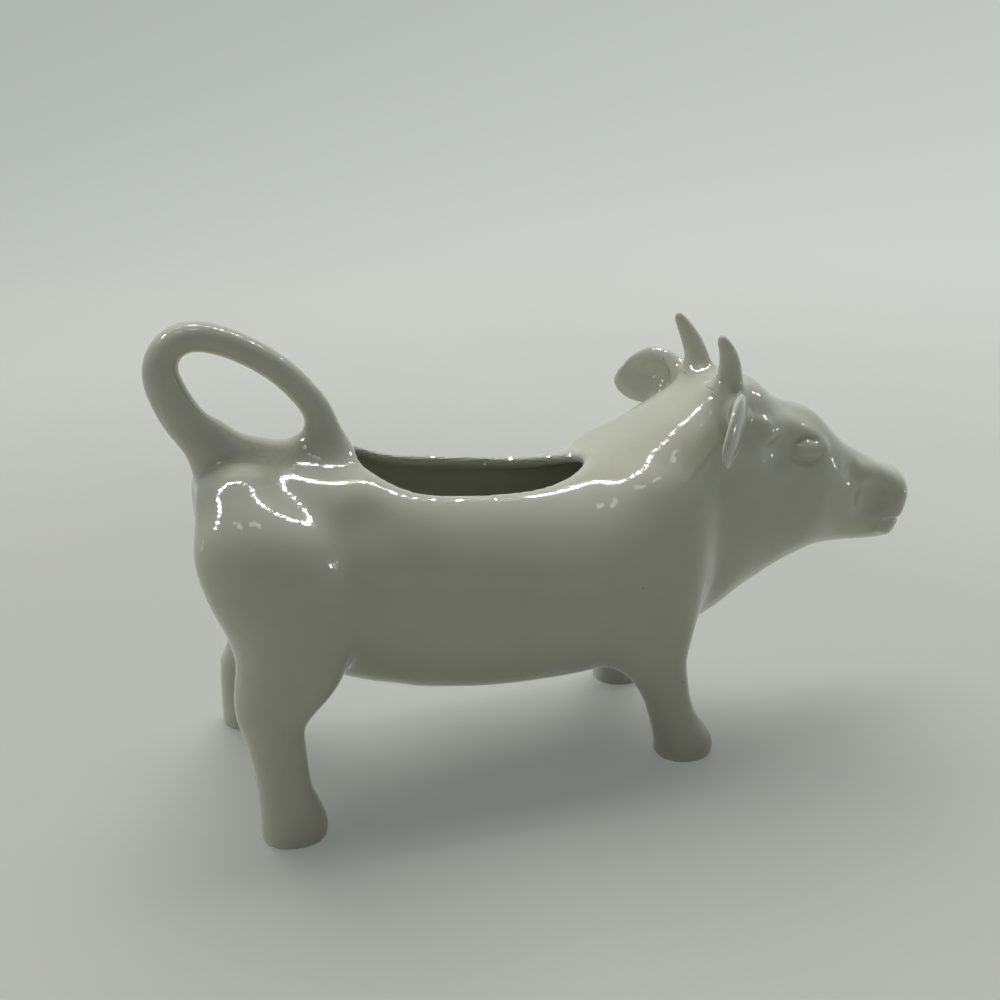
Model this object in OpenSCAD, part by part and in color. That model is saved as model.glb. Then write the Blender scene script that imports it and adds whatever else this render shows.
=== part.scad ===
// White porcelain cow creamer.
// The cow stands on its four feet and looks along +X, and its left side is +Y.
// The origin lies on the table, midway along the whole length of the figure.

/* [Body] */
// Length of the body from the rump to the neck seam
body_l = 121; // [110:1:135]
// Distance from the origin back to the rump
rump_reach = 88; // [80:1:100]
// Width of the barrel
body_w = 52; // [46:1:60]
// Height of the belly above the table
belly_z = 20; // [16:0.5:24]
// Height of the back above the belly
body_h = 61.5; // [54:0.5:68]
// Thickness of the porcelain wall
wall = 3; // [2:0.5:4]

/* [Filling hole] */
// Length of the hole in the back
opening_l = 56; // [40:1:60]
// Width of the hole in the back
opening_w = 24; // [18:1:28]
// Distance from the rump to the hole
opening_start = 35.5; // [34:0.5:42]

/* [Neck and head] */
// Height of the chest at the neck seam above the table
chest_z = 26.5; // [22:0.5:30]
// Height of the neck seam from the chest to the crest
neck_h = 64.5; // [58:0.5:70]
// Width of the neck at its seam
neck_w = 36; // [30:1:40]
// Length of the head and neck in front of the seam
head_l = 64.5; // [55:0.5:75]
// Width of the pouring hole in the mouth
mouth_w = 8; // [6:0.5:9]
// Height of the pouring hole in the mouth
mouth_h = 6; // [5:0.5:6.5]
// Height of the middle of the pouring hole above the table
mouth_z = 51; // [50:0.5:53]

/* [Tail handle] */
// Distance from the rump forward to the middle of the loop
tail_start = 10.2; // [9:0.1:13]
// Length of the loop along the cow
tail_l = 41; // [36:1:44]
// Height of the seam of the tail above the table
tail_seam_z = 91.5; // [90:0.5:94]
// Height of the loop above its seam, to the middle of the tail at the top
tail_h = 18.5; // [15:0.5:24]
// Diameter of the tail at the top of the loop
tail_d = 6.6; // [5.5:0.1:8]

/* [Horns] */
// Distance from the neck seam to the middle of a horn's root
horn_start = 4; // [3:0.5:7]
// Distance between the middles of the two horn roots
horn_gap = 17; // [15:0.5:20]
// Height of the seam of the horns above the crest of the neck
horn_rise = 2; // [1.5:0.5:4]
// Height of a horn above its seam
horn_h = 11; // [7:0.5:14]
// Diameter of a horn at its seam
horn_d = 6; // [5:0.5:8]

/* [Ears] */
// Distance from the neck seam to the middle of an ear's root
ear_start = 1.5; // [1:0.5:5]
// Height of the crest of the neck above the middle of an ear's root
ear_drop = 5; // [4:0.5:8]
// Distance between the seams of the two ears
ear_gap = 37; // [36.5:0.5:39]
// Length of an ear outside its seam
ear_l = 11.5; // [8:0.5:14]
// Height of an ear at its widest
ear_h = 15; // [12:0.5:17]
// Thickness of an ear at its middle
ear_t = 5; // [4:0.5:7]

/* [Legs] */
// Distance from the rump forward to the middle of the rear hooves
rear_leg_start = 14.8; // [13:0.2:18]
// Distance from the rump forward to the middle of the front hooves
front_leg_start = 115.5; // [108:0.5:117]
// Distance between the middles of the rear hooves
rear_track = 51.6; // [46:0.2:56]
// Distance between the middles of the front hooves
front_track = 39.6; // [36:0.2:46]
// Length of a hoof
hoof_l = 15; // [13:0.1:17]
// Width of a hoof
hoof_w = 13.4; // [12:0.1:15]
// Height of the rear haunches above the table
haunch_z = 80; // [74:1:84]
// Length of a rear haunch
haunch_l = 28; // [25:1:32]
// Width of a rear haunch
haunch_w = 22; // [18:1:26]
// Height of the shoulders above the table
shoulder_z = 76; // [70:1:80]
// Length of a shoulder
shoulder_l = 28; // [22:1:32]
// Width of a shoulder
shoulder_w = 20; // [16:1:24]

/* [Hidden] */
porcelain = [0.86, 0.87, 0.84];

// The rump, the neck seam and the amount by which a cut runs past the clay
rump_x = -rump_reach;
neck_x = rump_x + body_l;
overrun = wall / 2;

// The legs are joined on level with the belly, below everything else of the body
leg_seam_z = belly_z;

// Sides of the cow
left = 1;
right = -1;

// Squareness of the lower and the upper half of a round section and of a limb
round_section = [2, 2];
limb_squareness = [2.2, 2.2];

// Points round a section, and sections along each piece
ring_n = 32;
limb_ring_n = 24;
body_sections = 34;
cavity_sections = 28;
head_sections = 30;
channel_sections = 20;
limb_sections = 8;
root_sections = 10;
tail_sections = 38;

// Barrel from the rump to the neck seam: place along the body, then height of its underside and of its
// back as shares of the body's height, half width as a share of half the body's width, and squareness of
// the lower and of the upper half
barrel_shares = [
    [0, 0.68, 0.862, 0.27, 2, 2],
    [0.004, 0.6, 0.919, 0.46, 2, 2],
    [0.0165, 0.5, 0.96, 0.635, 2.1, 2.1],
    [0.046, 0.39, 0.984, 0.78, 2.2, 2.2],
    [0.104, 0.276, 0.997, 0.885, 2.2, 2.2],
    [0.187, 0.18, 1.003, 0.923, 2.2, 2.2],
    [0.293, 0.093, 0.992, 0.942, 2.2, 2.1],
    [0.352, 0.062, 0.946, 0.955, 2.2, 2],
    [0.41, 0.037, 0.92, 0.97, 2.3, 2],
    [0.542, 0.005, 0.898, 1, 2.3, 2],
    [0.674, 0, 0.878, 1, 2.3, 2],
    [0.765, 0.007, 0.898, 0.975, 2.3, 2.1],
    [0.848, 0.024, 0.972, 0.92, 2.2, 2.3],
    [0.922, 0.054, 1.062, 0.82, 2.1, 2.6]];

// Head from the neck seam to the nose, in shares of its length, of the seam's height and of its half
// width, with the same squareness
head_shares = [
    [0, 0, 1, 1, 2, 2.8],
    [0.055, 0.024, 1.023, 0.97, 2, 2.9],
    [0.132, 0.065, 1.031, 0.93, 2, 2.8],
    [0.208, 0.12, 1.022, 0.89, 2, 2.6],
    [0.271, 0.155, 0.975, 0.84, 2, 2.4],
    [0.334, 0.192, 0.93, 0.81, 2, 2.2],
    [0.395, 0.223, 0.901, 0.785, 2, 2.1],
    [0.474, 0.254, 0.878, 0.755, 2, 2.1],
    [0.522, 0.268, 0.854, 0.72, 2, 2.1],
    [0.563, 0.278, 0.817, 0.67, 2, 2.1],
    [0.662, 0.284, 0.726, 0.57, 2.1, 2.2],
    [0.748, 0.282, 0.672, 0.53, 2.2, 2.2],
    [0.839, 0.279, 0.623, 0.51, 2.2, 2.2],
    [0.9, 0.285, 0.598, 0.49, 2.2, 2.2],
    [0.94, 0.325, 0.582, 0.44, 2.1, 2.2],
    [0.97, 0.39, 0.563, 0.36, 2, 2.1],
    [0.992, 0.45, 0.54, 0.25, 2, 2],
    [1, 0.475, 0.517, 0.11, 2, 2]];

// Places along the head where the hollow stops following the outside, narrows, and becomes the mouth
hollow_end_share = 0.7;
duct_start_share = 0.82;
duct_drop_share = 0.4;

// Tail from its rear root over the loop to its front root, in shares of the loop's length measured from
// its middle, of its height over the seam, and of the tail's diameter
tail_shares = [
    [-0.144, -0.71, 1.67],
    [-0.222, -0.335, 1.33],
    [-0.307, 0, 1.18],
    [-0.363, 0.285, 1.16],
    [-0.4, 0.58, 1.13],
    [-0.349, 0.885, 1.03],
    [-0.215, 1, 1],
    [-0.002, 0.85, 0.955],
    [0.22, 0.53, 0.94],
    [0.373, 0.157, 0.94],
    [0.42, 0, 1],
    [0.451, -0.265, 1.15],
    [0.502, -0.65, 1.6]];

// Step along the rows of the tail over which its direction is taken
path_step = 0.02;

// Ridge between the roots of the tail: place along the loop, height from the back to the seam, half width
// as a share of the tail's diameter
ridge_shares = [
    [-0.27, 0.35, 0.45],
    [-0.2, 0.93, 0.55],
    [-0.122, 0.9, 0.58],
    [-0.04, 0.68, 0.6],
    [0.076, 0.49, 0.6],
    [0.176, 0.36, 0.6],
    [0.26, 0.31, 0.6],
    [0.34, 0.45, 0.6],
    [0.4, 0.5, 0.6],
    [0.485, 0.3, 0.5],
    [0.595, 0, 0.4]];

// Rear leg from the sole up to its seam: height, forward shift, inward shift, length and width, in shares
// of the seam's height and of the hoof's length and width
rear_leg_shares = [
    [0, 0, 0, 0.97, 0.96],
    [0.135, 0, 0, 1, 1],
    [0.325, -0.037, 0, 0.93, 0.95],
    [0.61, -0.121, 0, 0.81, 0.84],
    [0.89, -0.168, 0.016, 0.8, 0.8],
    [1, -0.187, 0.03, 0.813, 0.806]];

// Haunch from the seam to its top, in the same columns, in shares of the haunch's own length and width
haunch_shares = [
    [0.05, -0.112, 0.03, 0.45, 0.505],
    [0.117, -0.134, 0.06, 0.488, 0.56],
    [0.17, -0.118, 0.08, 0.579, 0.618],
    [0.223, -0.0625, 0.1, 0.718, 0.68],
    [0.293, 0.007, 0.14, 0.829, 0.77],
    [0.383, 0.054, 0.19, 0.879, 0.86],
    [0.488, 0.057, 0.24, 0.943, 0.94],
    [0.628, 0.036, 0.29, 1.014, 1],
    [0.77, 0.004, 0.35, 1.036, 0.98],
    [0.885, -0.039, 0.44, 0.921, 0.9],
    [0.965, -0.07, 0.56, 0.696, 0.7],
    [1, -0.07, 0.62, 0.41, 0.42]];

// The left rear leg stands with its foot a little back and its hock forward: the same rows from the sole
// up, in shares of the hoof's length
left_stance_shares = [-0.085, -0.085, -0.085, -0.06, 0, 0.07, 0.2, 0.24, 0.22, 0.18, 0.1, 0.04,
                      0, 0, 0, 0, 0, 0];

// Front leg and shoulder in the same way
front_leg_shares = [
    [0, 0, 0, 0.97, 0.96],
    [0.135, 0, 0, 1, 1],
    [0.295, -0.075, 0, 0.95, 0.95],
    [0.515, -0.224, 0.007, 0.83, 0.86],
    [0.755, -0.353, 0.022, 0.8, 0.82],
    [1, -0.48, 0.04, 0.9, 0.873]];
shoulder_shares = [
    [0.054, -0.3, 0.04, 0.54, 0.61],
    [0.125, -0.375, 0.06, 0.67, 0.67],
    [0.257, -0.44, 0.1, 0.9, 0.8],
    [0.405, -0.44, 0.15, 1, 0.92],
    [0.58, -0.42, 0.21, 1, 1],
    [0.755, -0.39, 0.27, 0.92, 0.98],
    [0.895, -0.36, 0.34, 0.75, 0.8],
    [1, -0.34, 0.42, 0.42, 0.5]];

// Horn from inside the head to its tip: height over the seam, backward and outward lean as shares of its
// height, and diameter
horn_shares = [
    [-0.6, 0, -0.15, 1.35],
    [-0.25, 0, -0.04, 1.15],
    [0, 0, 0, 1],
    [0.3, 0.08, 0.1, 0.86],
    [0.6, 0.22, 0.2, 0.66],
    [0.85, 0.38, 0.24, 0.4],
    [1, 0.48, 0.24, 0.12]];
horn_root_rows = 2;

// Ear from inside the head to its tip: distance outside the seam as a share of its length, backward
// sweep and droop as shares of its length, then height and thickness
ear_shares = [
    [-0.87, -0.38, 0.08, 0.4, 1],
    [-0.49, -0.23, 0.04, 0.5, 1],
    [-0.245, -0.13, 0, 0.62, 1],
    [0, 0, 0, 0.79, 1],
    [0.38, 0.245, 0.12, 1, 0.95],
    [0.69, 0.49, 0.245, 0.85, 0.8],
    [0.9, 0.69, 0.345, 0.5, 0.55],
    [1, 0.795, 0.39, 0.15, 0.25]];
ear_root_rows = 3;

// Crest of the neck, and the horns' seam and the ears' middles measured from it
crest_z = chest_z + neck_h * max([for (r = head_shares) r[2]]);
horn_seam_z = crest_z + horn_rise;
ear_z = crest_z - ear_drop;

// Last rows of the legs, at their seams
rear_seam_row = len(rear_leg_shares) - 1;
front_seam_row = len(front_leg_shares) - 1;

// How much wider than an oval the filling hole is at its rear, and the levels from which it and the ridge
// under the loop rise
egg_share = 0.15;
opening_floor_z = belly_z + body_h / 2;
ridge_base_z = belly_z + body_h - 2 * wall;

// A power that keeps the sign of its base
function signed_pow(v, p) = sign(v) * pow(abs(v), p);

// Slope of a table at one of its rows, measured per row
function row_slope(rows, i) =
    let (a = max(i - 1, 0), b = min(i + 1, len(rows) - 1))
    (rows[b] - rows[a]) / (b - a);

// Smooth row at place u of a table, counted in rows from the first
function row_at(rows, u) =
    let (i = min(floor(u), len(rows) - 2), t = u - i, t2 = t * t, t3 = t2 * t)
    (2 * t3 - 3 * t2 + 1) * rows[i] + (t3 - 2 * t2 + t) * row_slope(rows, i)
    + (3 * t2 - 2 * t3) * rows[i + 1] + (t3 - t2) * row_slope(rows, i + 1);

// Closed section with half sizes a and b round a middle, along two directions, and with the squareness
// of its lower and of its upper half
function section(middle, side, up, a, b, squareness, count) =
    [for (i = [0 : count - 1])
        let (w = 360 * i / count, n = squareness[w < 180 ? 1 : 0])
        middle + side * a * signed_pow(cos(w), 2 / n) + up * b * signed_pow(sin(w), 2 / n)];

// Faces of a skin over sections of equal count, closed at both ends
function skin_faces(rings, count) = concat(
    [for (r = [0 : rings - 2], i = [0 : count - 1])
        let (k = (i + 1) % count)
        each [[r * count + i, (r + 1) * count + i, r * count + k],
              [r * count + k, (r + 1) * count + i, (r + 1) * count + k]]],
    [[for (i = [0 : count - 1]) i]],
    [[for (i = [0 : count - 1]) rings * count - 1 - i]]);

module skin(rings) {
    count = len(rings[0]);
    polyhedron([for (r = rings) each r], skin_faces(len(rings), count));
}

// Section across the cow at x, from its underside to its top
function slice(x, low, high, half, squareness) =
    section([x, 0, (low + high) / 2], [0, 1, 0], [0, 0, 1], half, (high - low) / 2, squareness, ring_n);

// Rows of the barrel and of the head in millimetres: place, underside, top, half width, and squareness
// of the lower and of the upper half
function barrel_rows() = concat(
    [for (r = barrel_shares)
        [rump_x + r[0] * body_l, belly_z + r[1] * body_h, belly_z + r[2] * body_h, r[3] * body_w / 2,
         r[4], r[5]]],
    [head_rows()[0]]);
function head_rows() =
    [for (r = head_shares)
        [neck_x + r[0] * head_l, chest_z + r[1] * neck_h, chest_z + r[2] * neck_h, r[3] * neck_w / 2,
         r[4], r[5]]];

// The same row, drawn in by the wall
function inset(row) = [row[0], row[1] + wall, row[2] - wall, row[3] - wall, row[4], row[5]];

function sections_of(rows, count) =
    [for (i = [0 : count])
        let (r = row_at(rows, i * (len(rows) - 1) / count))
        slice(r[0], r[1], r[2], r[3], [r[4], r[5]])];

// Hollow of the barrel, which starts one wall in front of the rump and runs out past the neck seam
function cavity_rows() = concat(
    [for (r = barrel_rows())
        let (x = rump_x + wall + (r[0] - rump_x) * (body_l - wall) / body_l)
        inset([x, r[1], r[2], max(r[3], 2 * wall), r[4], r[5]])],
    [inset(head_rows()[0]) + [overrun, 0, 0, 0, 0, 0]]);

// Hollow of the head, which follows the outside and then narrows to the pouring hole
function channel_rows() =
    let (rows = head_rows(),
         followed = [for (i = [0 : len(rows) - 1])
             if (head_shares[i][0] < hollow_end_share) inset(rows[i])],
         low = mouth_z - mouth_h / 2, high = mouth_z + mouth_h / 2,
         last = followed[len(followed) - 1])
    concat(
        [followed[0] - [overrun, 0, 0, 0, 0, 0]],
        followed,
        [[neck_x + duct_start_share * head_l, low, high + (last[2] - high) * duct_drop_share,
          (mouth_w / 2 + last[3]) / 2, 2, 2],
         [neck_x + (duct_start_share + 1) / 2 * head_l, low, high, mouth_w / 2, 2, 2],
         [neck_x + head_l + overrun, low, high, mouth_w / 2, 2, 2]]);

// Tail: sections square to its path, from its rear root over the loop to its front root
function tail_rows() =
    [for (r = tail_shares)
        [rump_x + tail_start + r[0] * tail_l, tail_seam_z + r[1] * tail_h, r[2] * tail_d / 2]];
function tail_section(rows, u) =
    let (p = row_at(rows, u),
         d = row_at(rows, min(u + path_step, len(rows) - 1)) - row_at(rows, max(u - path_step, 0)),
         long = norm([d[0], d[1]]))
    section([p[0], 0, p[1]], [0, 1, 0], [-d[1] / long, 0, d[0] / long], p[2], p[2], round_section,
            limb_ring_n);
module tail() {
    rows = tail_rows();
    skin([for (i = [0 : tail_sections]) tail_section(rows, i * (len(rows) - 1) / tail_sections)]);
}

// Everything above the seam of the tail
module above_tail_seam() {
    translate([rump_x - tail_l, -body_w / 2, tail_seam_z])
        cube([body_l + tail_l, body_w, 2 * tail_h]);
}

// Ridge under the loop
function ridge_rows() =
    [for (r = ridge_shares)
        [rump_x + tail_start + r[0] * tail_l, ridge_base_z,
         belly_z + body_h + r[1] * (tail_seam_z - belly_z - body_h), r[2] * tail_d, 2, 2]];

// Level section of a limb
function limb_section(x, y, z, half_l, half_w) =
    section([x, y, z], [1, 0, 0], [0, 1, 0], half_l, half_w, limb_squareness, limb_ring_n);

// Rows of a limb below and above its seam: height, middle, half length, half width
function foot_rows(shares, start, track) =
    [for (r = shares)
        [leg_seam_z * r[0], rump_x + start + r[1] * hoof_l, track / 2 - r[2] * hoof_w,
         r[3] * hoof_l / 2, r[4] * hoof_w / 2]];
function mass_rows(shares, start, track, long, wide, top) =
    [for (r = shares)
        [leg_seam_z + r[0] * (top - leg_seam_z), rump_x + start + r[1] * long, track / 2 - r[2] * wide,
         r[3] * long / 2, r[4] * wide / 2]];
function limb_sections_of(rows, side, from, to, count) =
    [for (i = [0 : count])
        let (r = row_at(rows, from + (to - from) * i / count))
        limb_section(r[1], side * r[2], r[0], r[3], r[4])];

function rear_limb_rows(side) =
    let (rows = concat(
        foot_rows(rear_leg_shares, rear_leg_start, rear_track),
        mass_rows(haunch_shares, rear_leg_start, rear_track, haunch_l, haunch_w, haunch_z)))
    [for (i = [0 : len(rows) - 1])
        rows[i] + [0, side == left ? left_stance_shares[i] * hoof_l : 0, 0, 0, 0]];
function front_limb_rows() = concat(
    foot_rows(front_leg_shares, front_leg_start, front_track),
    mass_rows(shoulder_shares, front_leg_start, front_track, shoulder_l, shoulder_w, shoulder_z));
// The part of a limb above its seam, which belongs to the body
module limb_mass(rows, seam_row, side) {
    skin(limb_sections_of(rows, side, seam_row, len(rows) - 1, root_sections));
}

// The part of a limb below its seam, which stands on the table
module limb(rows, seam_row, side) {
    color(porcelain) skin(limb_sections_of(rows, side, 0, seam_row, limb_sections));
}

// Horn: level sections from inside the head to the tip
function horn_rows() =
    [for (r = horn_shares)
        [horn_seam_z + r[0] * horn_h, neck_x + horn_start - r[1] * horn_h, horn_gap / 2 + r[2] * horn_h,
         r[3] * horn_d / 2]];
function horn_part(side, from, to, count) =
    let (rows = horn_rows())
    [for (i = [0 : count])
        let (r = row_at(rows, from + (to - from) * i / count))
        section([r[1], side * r[2], r[0]], [1, 0, 0], [0, 1, 0], r[3], r[3], round_section, limb_ring_n)];
module horn_root(side) {
    skin(horn_part(side, 0, horn_root_rows, horn_root_rows));
}
module horn(side) {
    color(porcelain) skin(horn_part(side, horn_root_rows, len(horn_shares) - 1, limb_sections));
}

// Ear: upright sections from inside the head outward to the tip
function ear_rows() =
    [for (r = ear_shares)
        [ear_gap / 2 + r[0] * ear_l, neck_x + ear_start - r[1] * ear_l, ear_z - r[2] * ear_l,
         r[4] * ear_t / 2, r[3] * ear_h / 2]];
function ear_part(side, from, to, count) =
    let (rows = ear_rows())
    [for (i = [0 : count])
        let (r = row_at(rows, from + (to - from) * (side == left ? count - i : i) / count))
        section([r[1], side * r[0], r[2]], [1, 0, 0], [0, 0, 1], r[3], r[4], round_section, limb_ring_n)];
module ear_root(side) {
    skin(ear_part(side, 0, ear_root_rows, ear_root_rows));
}
module ear(side) {
    color(porcelain) skin(ear_part(side, ear_root_rows, len(ear_shares) - 1, limb_sections));
}

// Filling hole: an egg, wider towards the rump, cut down into the hollow
module opening() {
    middle = rump_x + opening_start + opening_l / 2;
    translate([middle, 0, opening_floor_z])
        linear_extrude(height = body_h)
            polygon([for (i = [0 : ring_n - 1])
                let (w = 360 * i / ring_n)
                [cos(w) * opening_l / 2, sin(w) * (1 - egg_share * cos(w)) * opening_w / 2]]);
}

module body_shell() {
    color(porcelain) difference() {
        union() {
            skin(sections_of(barrel_rows(), body_sections));
            for (side = [left, right]) {
                limb_mass(rear_limb_rows(side), rear_seam_row, side);
                limb_mass(front_limb_rows(), front_seam_row, side);
            }
            difference() {
                tail();
                above_tail_seam();
            }
            skin(sections_of(ridge_rows(), root_sections));
        }
        skin(sections_of(cavity_rows(), cavity_sections));
        opening();
    }
}

// Everything behind the neck seam that a root of an ear or a horn could reach
module behind_neck_seam() {
    translate([rump_x, -body_w / 2, belly_z])
        cube([body_l, body_w, body_h + neck_h]);
}

module head_shell() {
    color(porcelain) difference() {
        union() {
            skin(sections_of(head_rows(), head_sections));
            for (side = [left, right]) {
                horn_root(side);
                ear_root(side);
            }
        }
        skin(sections_of(channel_rows(), channel_sections));
        behind_neck_seam();
    }
}

module tail_handle() {
    color(porcelain) intersection() {
        tail();
        above_tail_seam();
    }
}

body_shell();
head_shell();
tail_handle();
horn(left);  // left_horn
horn(right);  // right_horn
ear(left);  // left_ear
ear(right);  // right_ear
limb(front_limb_rows(), front_seam_row, left);  // front_left_leg
limb(front_limb_rows(), front_seam_row, right);  // front_right_leg
limb(rear_limb_rows(left), rear_seam_row, left);  // rear_left_leg
limb(rear_limb_rows(right), rear_seam_row, right);  // rear_right_leg
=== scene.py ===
"""White porcelain cow creamer: its glazed looks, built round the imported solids."""

import logging
import math
from dataclasses import dataclass
from enum import Enum
from typing import Callable, Sequence

import bmesh
import bpy
import numpy as np
import openvdb as vdb
from mathutils import Matrix, Vector


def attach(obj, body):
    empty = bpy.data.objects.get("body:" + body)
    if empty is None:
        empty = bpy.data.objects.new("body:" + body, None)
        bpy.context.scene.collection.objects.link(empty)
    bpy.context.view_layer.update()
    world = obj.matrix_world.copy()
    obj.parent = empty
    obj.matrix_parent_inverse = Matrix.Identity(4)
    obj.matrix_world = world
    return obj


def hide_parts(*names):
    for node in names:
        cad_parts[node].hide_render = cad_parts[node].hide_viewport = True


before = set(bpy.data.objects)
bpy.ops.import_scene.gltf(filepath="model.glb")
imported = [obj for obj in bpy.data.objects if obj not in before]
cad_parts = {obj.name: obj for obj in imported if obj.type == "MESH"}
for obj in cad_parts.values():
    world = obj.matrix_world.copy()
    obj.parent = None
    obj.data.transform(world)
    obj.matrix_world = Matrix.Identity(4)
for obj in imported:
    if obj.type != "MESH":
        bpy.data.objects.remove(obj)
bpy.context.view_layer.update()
LOG = logging.getLogger("cow creamer")
MM = 0.001
FAR = 60.0
Array = np.ndarray
Field = Callable[[Array], Array]


class Side(Enum):
    """Sides of the cow, as the sign of +Y."""

    LEFT = 1
    RIGHT = -1


class Axis(Enum):
    """Axis that a form's sections follow, and the two across it."""

    ALONG = (0, 1, 2)
    UP = (2, 0, 1)
    ACROSS = (1, 0, 2)


class Glazing(Enum):
    """Where a face lies, and so which material it takes."""

    OUTSIDE = 0
    HOLLOW = 1
    SOLE = 2


def fuse(a: Array, b: Array, reach: float) -> Array:
    """Joins two forms with a rounded fillet.

    Args:
        a: Distances to the first form.
        b: Distances to the second form.
        reach: How far from the joint the fillet begins, in millimetres.

    Returns:
        Distances to the joined form.
    """
    blend = np.maximum(reach - np.abs(a - b), 0.0) / reach
    return np.minimum(a, b) - blend**3 * (reach / 6.0)


def carve(a: Array, b: Array, reach: float) -> Array:
    """Cuts form b out of form a and rounds the edge that the cut leaves."""
    return -fuse(-a, b, reach)


class Rows:
    """Table of sizes whose rows are joined by one smooth curve."""

    def __init__(self, rows: Sequence[Sequence[float]], samples: int = 1600) -> None:
        """Samples the curve.

        Args:
            rows: The table, with the place along the form in its first column.
            samples: Number of places at which the curve is worked out.
        """
        table = np.array(rows, float)
        last = len(table) - 1
        index = np.arange(last + 1)
        after, before = np.minimum(index + 1, last), np.maximum(index - 1, 0)
        slope = (table[after] - table[before]) / (after - before)[:, None]
        u = np.linspace(0, last, samples)
        i = np.minimum(u.astype(int), last - 1)
        t = (u - i)[:, None]
        self.values = (
            (2 * t**3 - 3 * t**2 + 1) * table[i]
            + (t**3 - 2 * t**2 + t) * slope[i]
            + (3 * t**2 - 2 * t**3) * table[i + 1]
            + (t**3 - t**2) * slope[i + 1]
        )

    def at(self, place: Array) -> list[Array]:
        """Returns the table's other columns at each place."""
        places = self.values[:, 0]
        return [np.interp(place, places, column) for column in self.values[:, 1:].T]

    @property
    def ends(self) -> tuple[float, float]:
        """First and last place of the table."""
        return float(self.values[0, 0]), float(self.values[-1, 0])


def even_path(points: Array, count: int, easing: float) -> Array:
    """Spaces the points of a path evenly and eases its bends.

    Args:
        points: Rows of x, y, z and radius, in millimetres.
        count: Number of points wanted.
        easing: Length over which bends are eased, in millimetres.

    Returns:
        The new rows, with the first and the last as they were.
    """
    length = np.concatenate([[0], np.cumsum(np.linalg.norm(np.diff(points[:, :3], axis=0), axis=1))])
    places = np.linspace(0, length[-1], count)
    even = np.stack([np.interp(places, length, column) for column in points.T], 1)
    weight = np.exp(-0.5 * ((places[:, None] - places[None]) / easing) ** 2)
    eased = weight @ even / weight.sum(1, keepdims=True)
    held = np.clip(np.minimum(places, places[-1] - places) / (3 * easing), 0, 1)[:, None]
    return even + (eased - even) * held


class Form:
    """A form of clay, known by the distance of any point from its skin."""

    margin = 12.0

    def __init__(self, low: Sequence[float], high: Sequence[float]) -> None:
        """Keeps the corners of the form, in millimetres."""
        self.low, self.high = np.array(low, float), np.array(high, float)

    def distance(self, points: Array) -> Array:
        """Returns the distance of each point from the skin, negative inside."""
        raise NotImplementedError

    def __call__(self, points: Array) -> Array:
        """Returns the distances, worked out only near the form."""
        near = np.all((points > self.low - self.margin) & (points < self.high + self.margin), axis=1)
        out = np.full(len(points), FAR)
        if near.any():
            out[near] = self.distance(points[near])
        return out


class Loft(Form):
    """Form drawn through rounded sections along an axis."""

    def __init__(self, axis: Axis, rows: Sequence[Sequence[float]]) -> None:
        """Builds the form.

        Args:
            axis: The axis that the sections follow.
            rows: Place, two middles, two half sizes, and the squareness of each half.
        """
        self.axis, self.rows = axis, Rows(rows)
        v = self.rows.values
        span = [(v[:, 0].min(), v[:, 0].max())]
        span += [((v[:, k] - v[:, k + 2]).min(), (v[:, k] + v[:, k + 2]).max()) for k in (1, 2)]
        low, high = np.zeros(3), np.zeros(3)
        for k, (a, b) in zip(axis.value, span):
            low[k], high[k] = a, b
        super().__init__(low, high)

    def distance(self, points: Array) -> Array:
        """Measures across the axis, and along it past the ends.

        Args:
            points: Rows of x, y and z, in millimetres.

        Returns:
            The distances.
        """
        along, first, second = self.axis.value
        start, end = self.rows.ends
        place = np.clip(points[:, along], start, end)
        mid_u, mid_v, half_u, half_v, low_n, high_n = self.rows.at(place)
        u = np.abs(points[:, first] - mid_u) / half_u + 1e-6
        dv = points[:, second] - mid_v
        v = np.abs(dv) / half_v + 1e-6
        n = np.where(dv > 0, high_n, low_n)
        un, vn = u ** (n - 1), v ** (n - 1)
        total = un * u + vn * v
        rho = total ** (1 / n)
        slope = rho / total * np.sqrt((un / half_u) ** 2 + (vn / half_v) ** 2)
        side = (rho - 1) / slope
        past = np.maximum(start - points[:, along], points[:, along] - end)
        return np.where(past > 0, np.hypot(np.maximum(side, 0), past), np.maximum(side, past))


class Ball(Form):
    """Egg-shaped form with three half sizes, turned as wanted."""

    def __init__(self, middle: Sequence[float], halves: Sequence[float], turn: Matrix | None = None) -> None:
        """Keeps the middle, the half sizes and the turn of the form."""
        self.middle, self.halves = np.array(middle, float), np.array(halves, float)
        self.turn = np.array(turn if turn is not None else Matrix.Identity(3), float)
        reach = max(halves)
        super().__init__(self.middle - reach, self.middle + reach)

    def distance(self, points: Array) -> Array:
        """Returns the distances, near the skin."""
        local = (points - self.middle) @ self.turn
        rho = np.linalg.norm(local / self.halves, axis=1) + 1e-6
        slope = np.linalg.norm(local / self.halves**2, axis=1) / rho + 1e-6
        return (rho - 1) / slope


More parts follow.
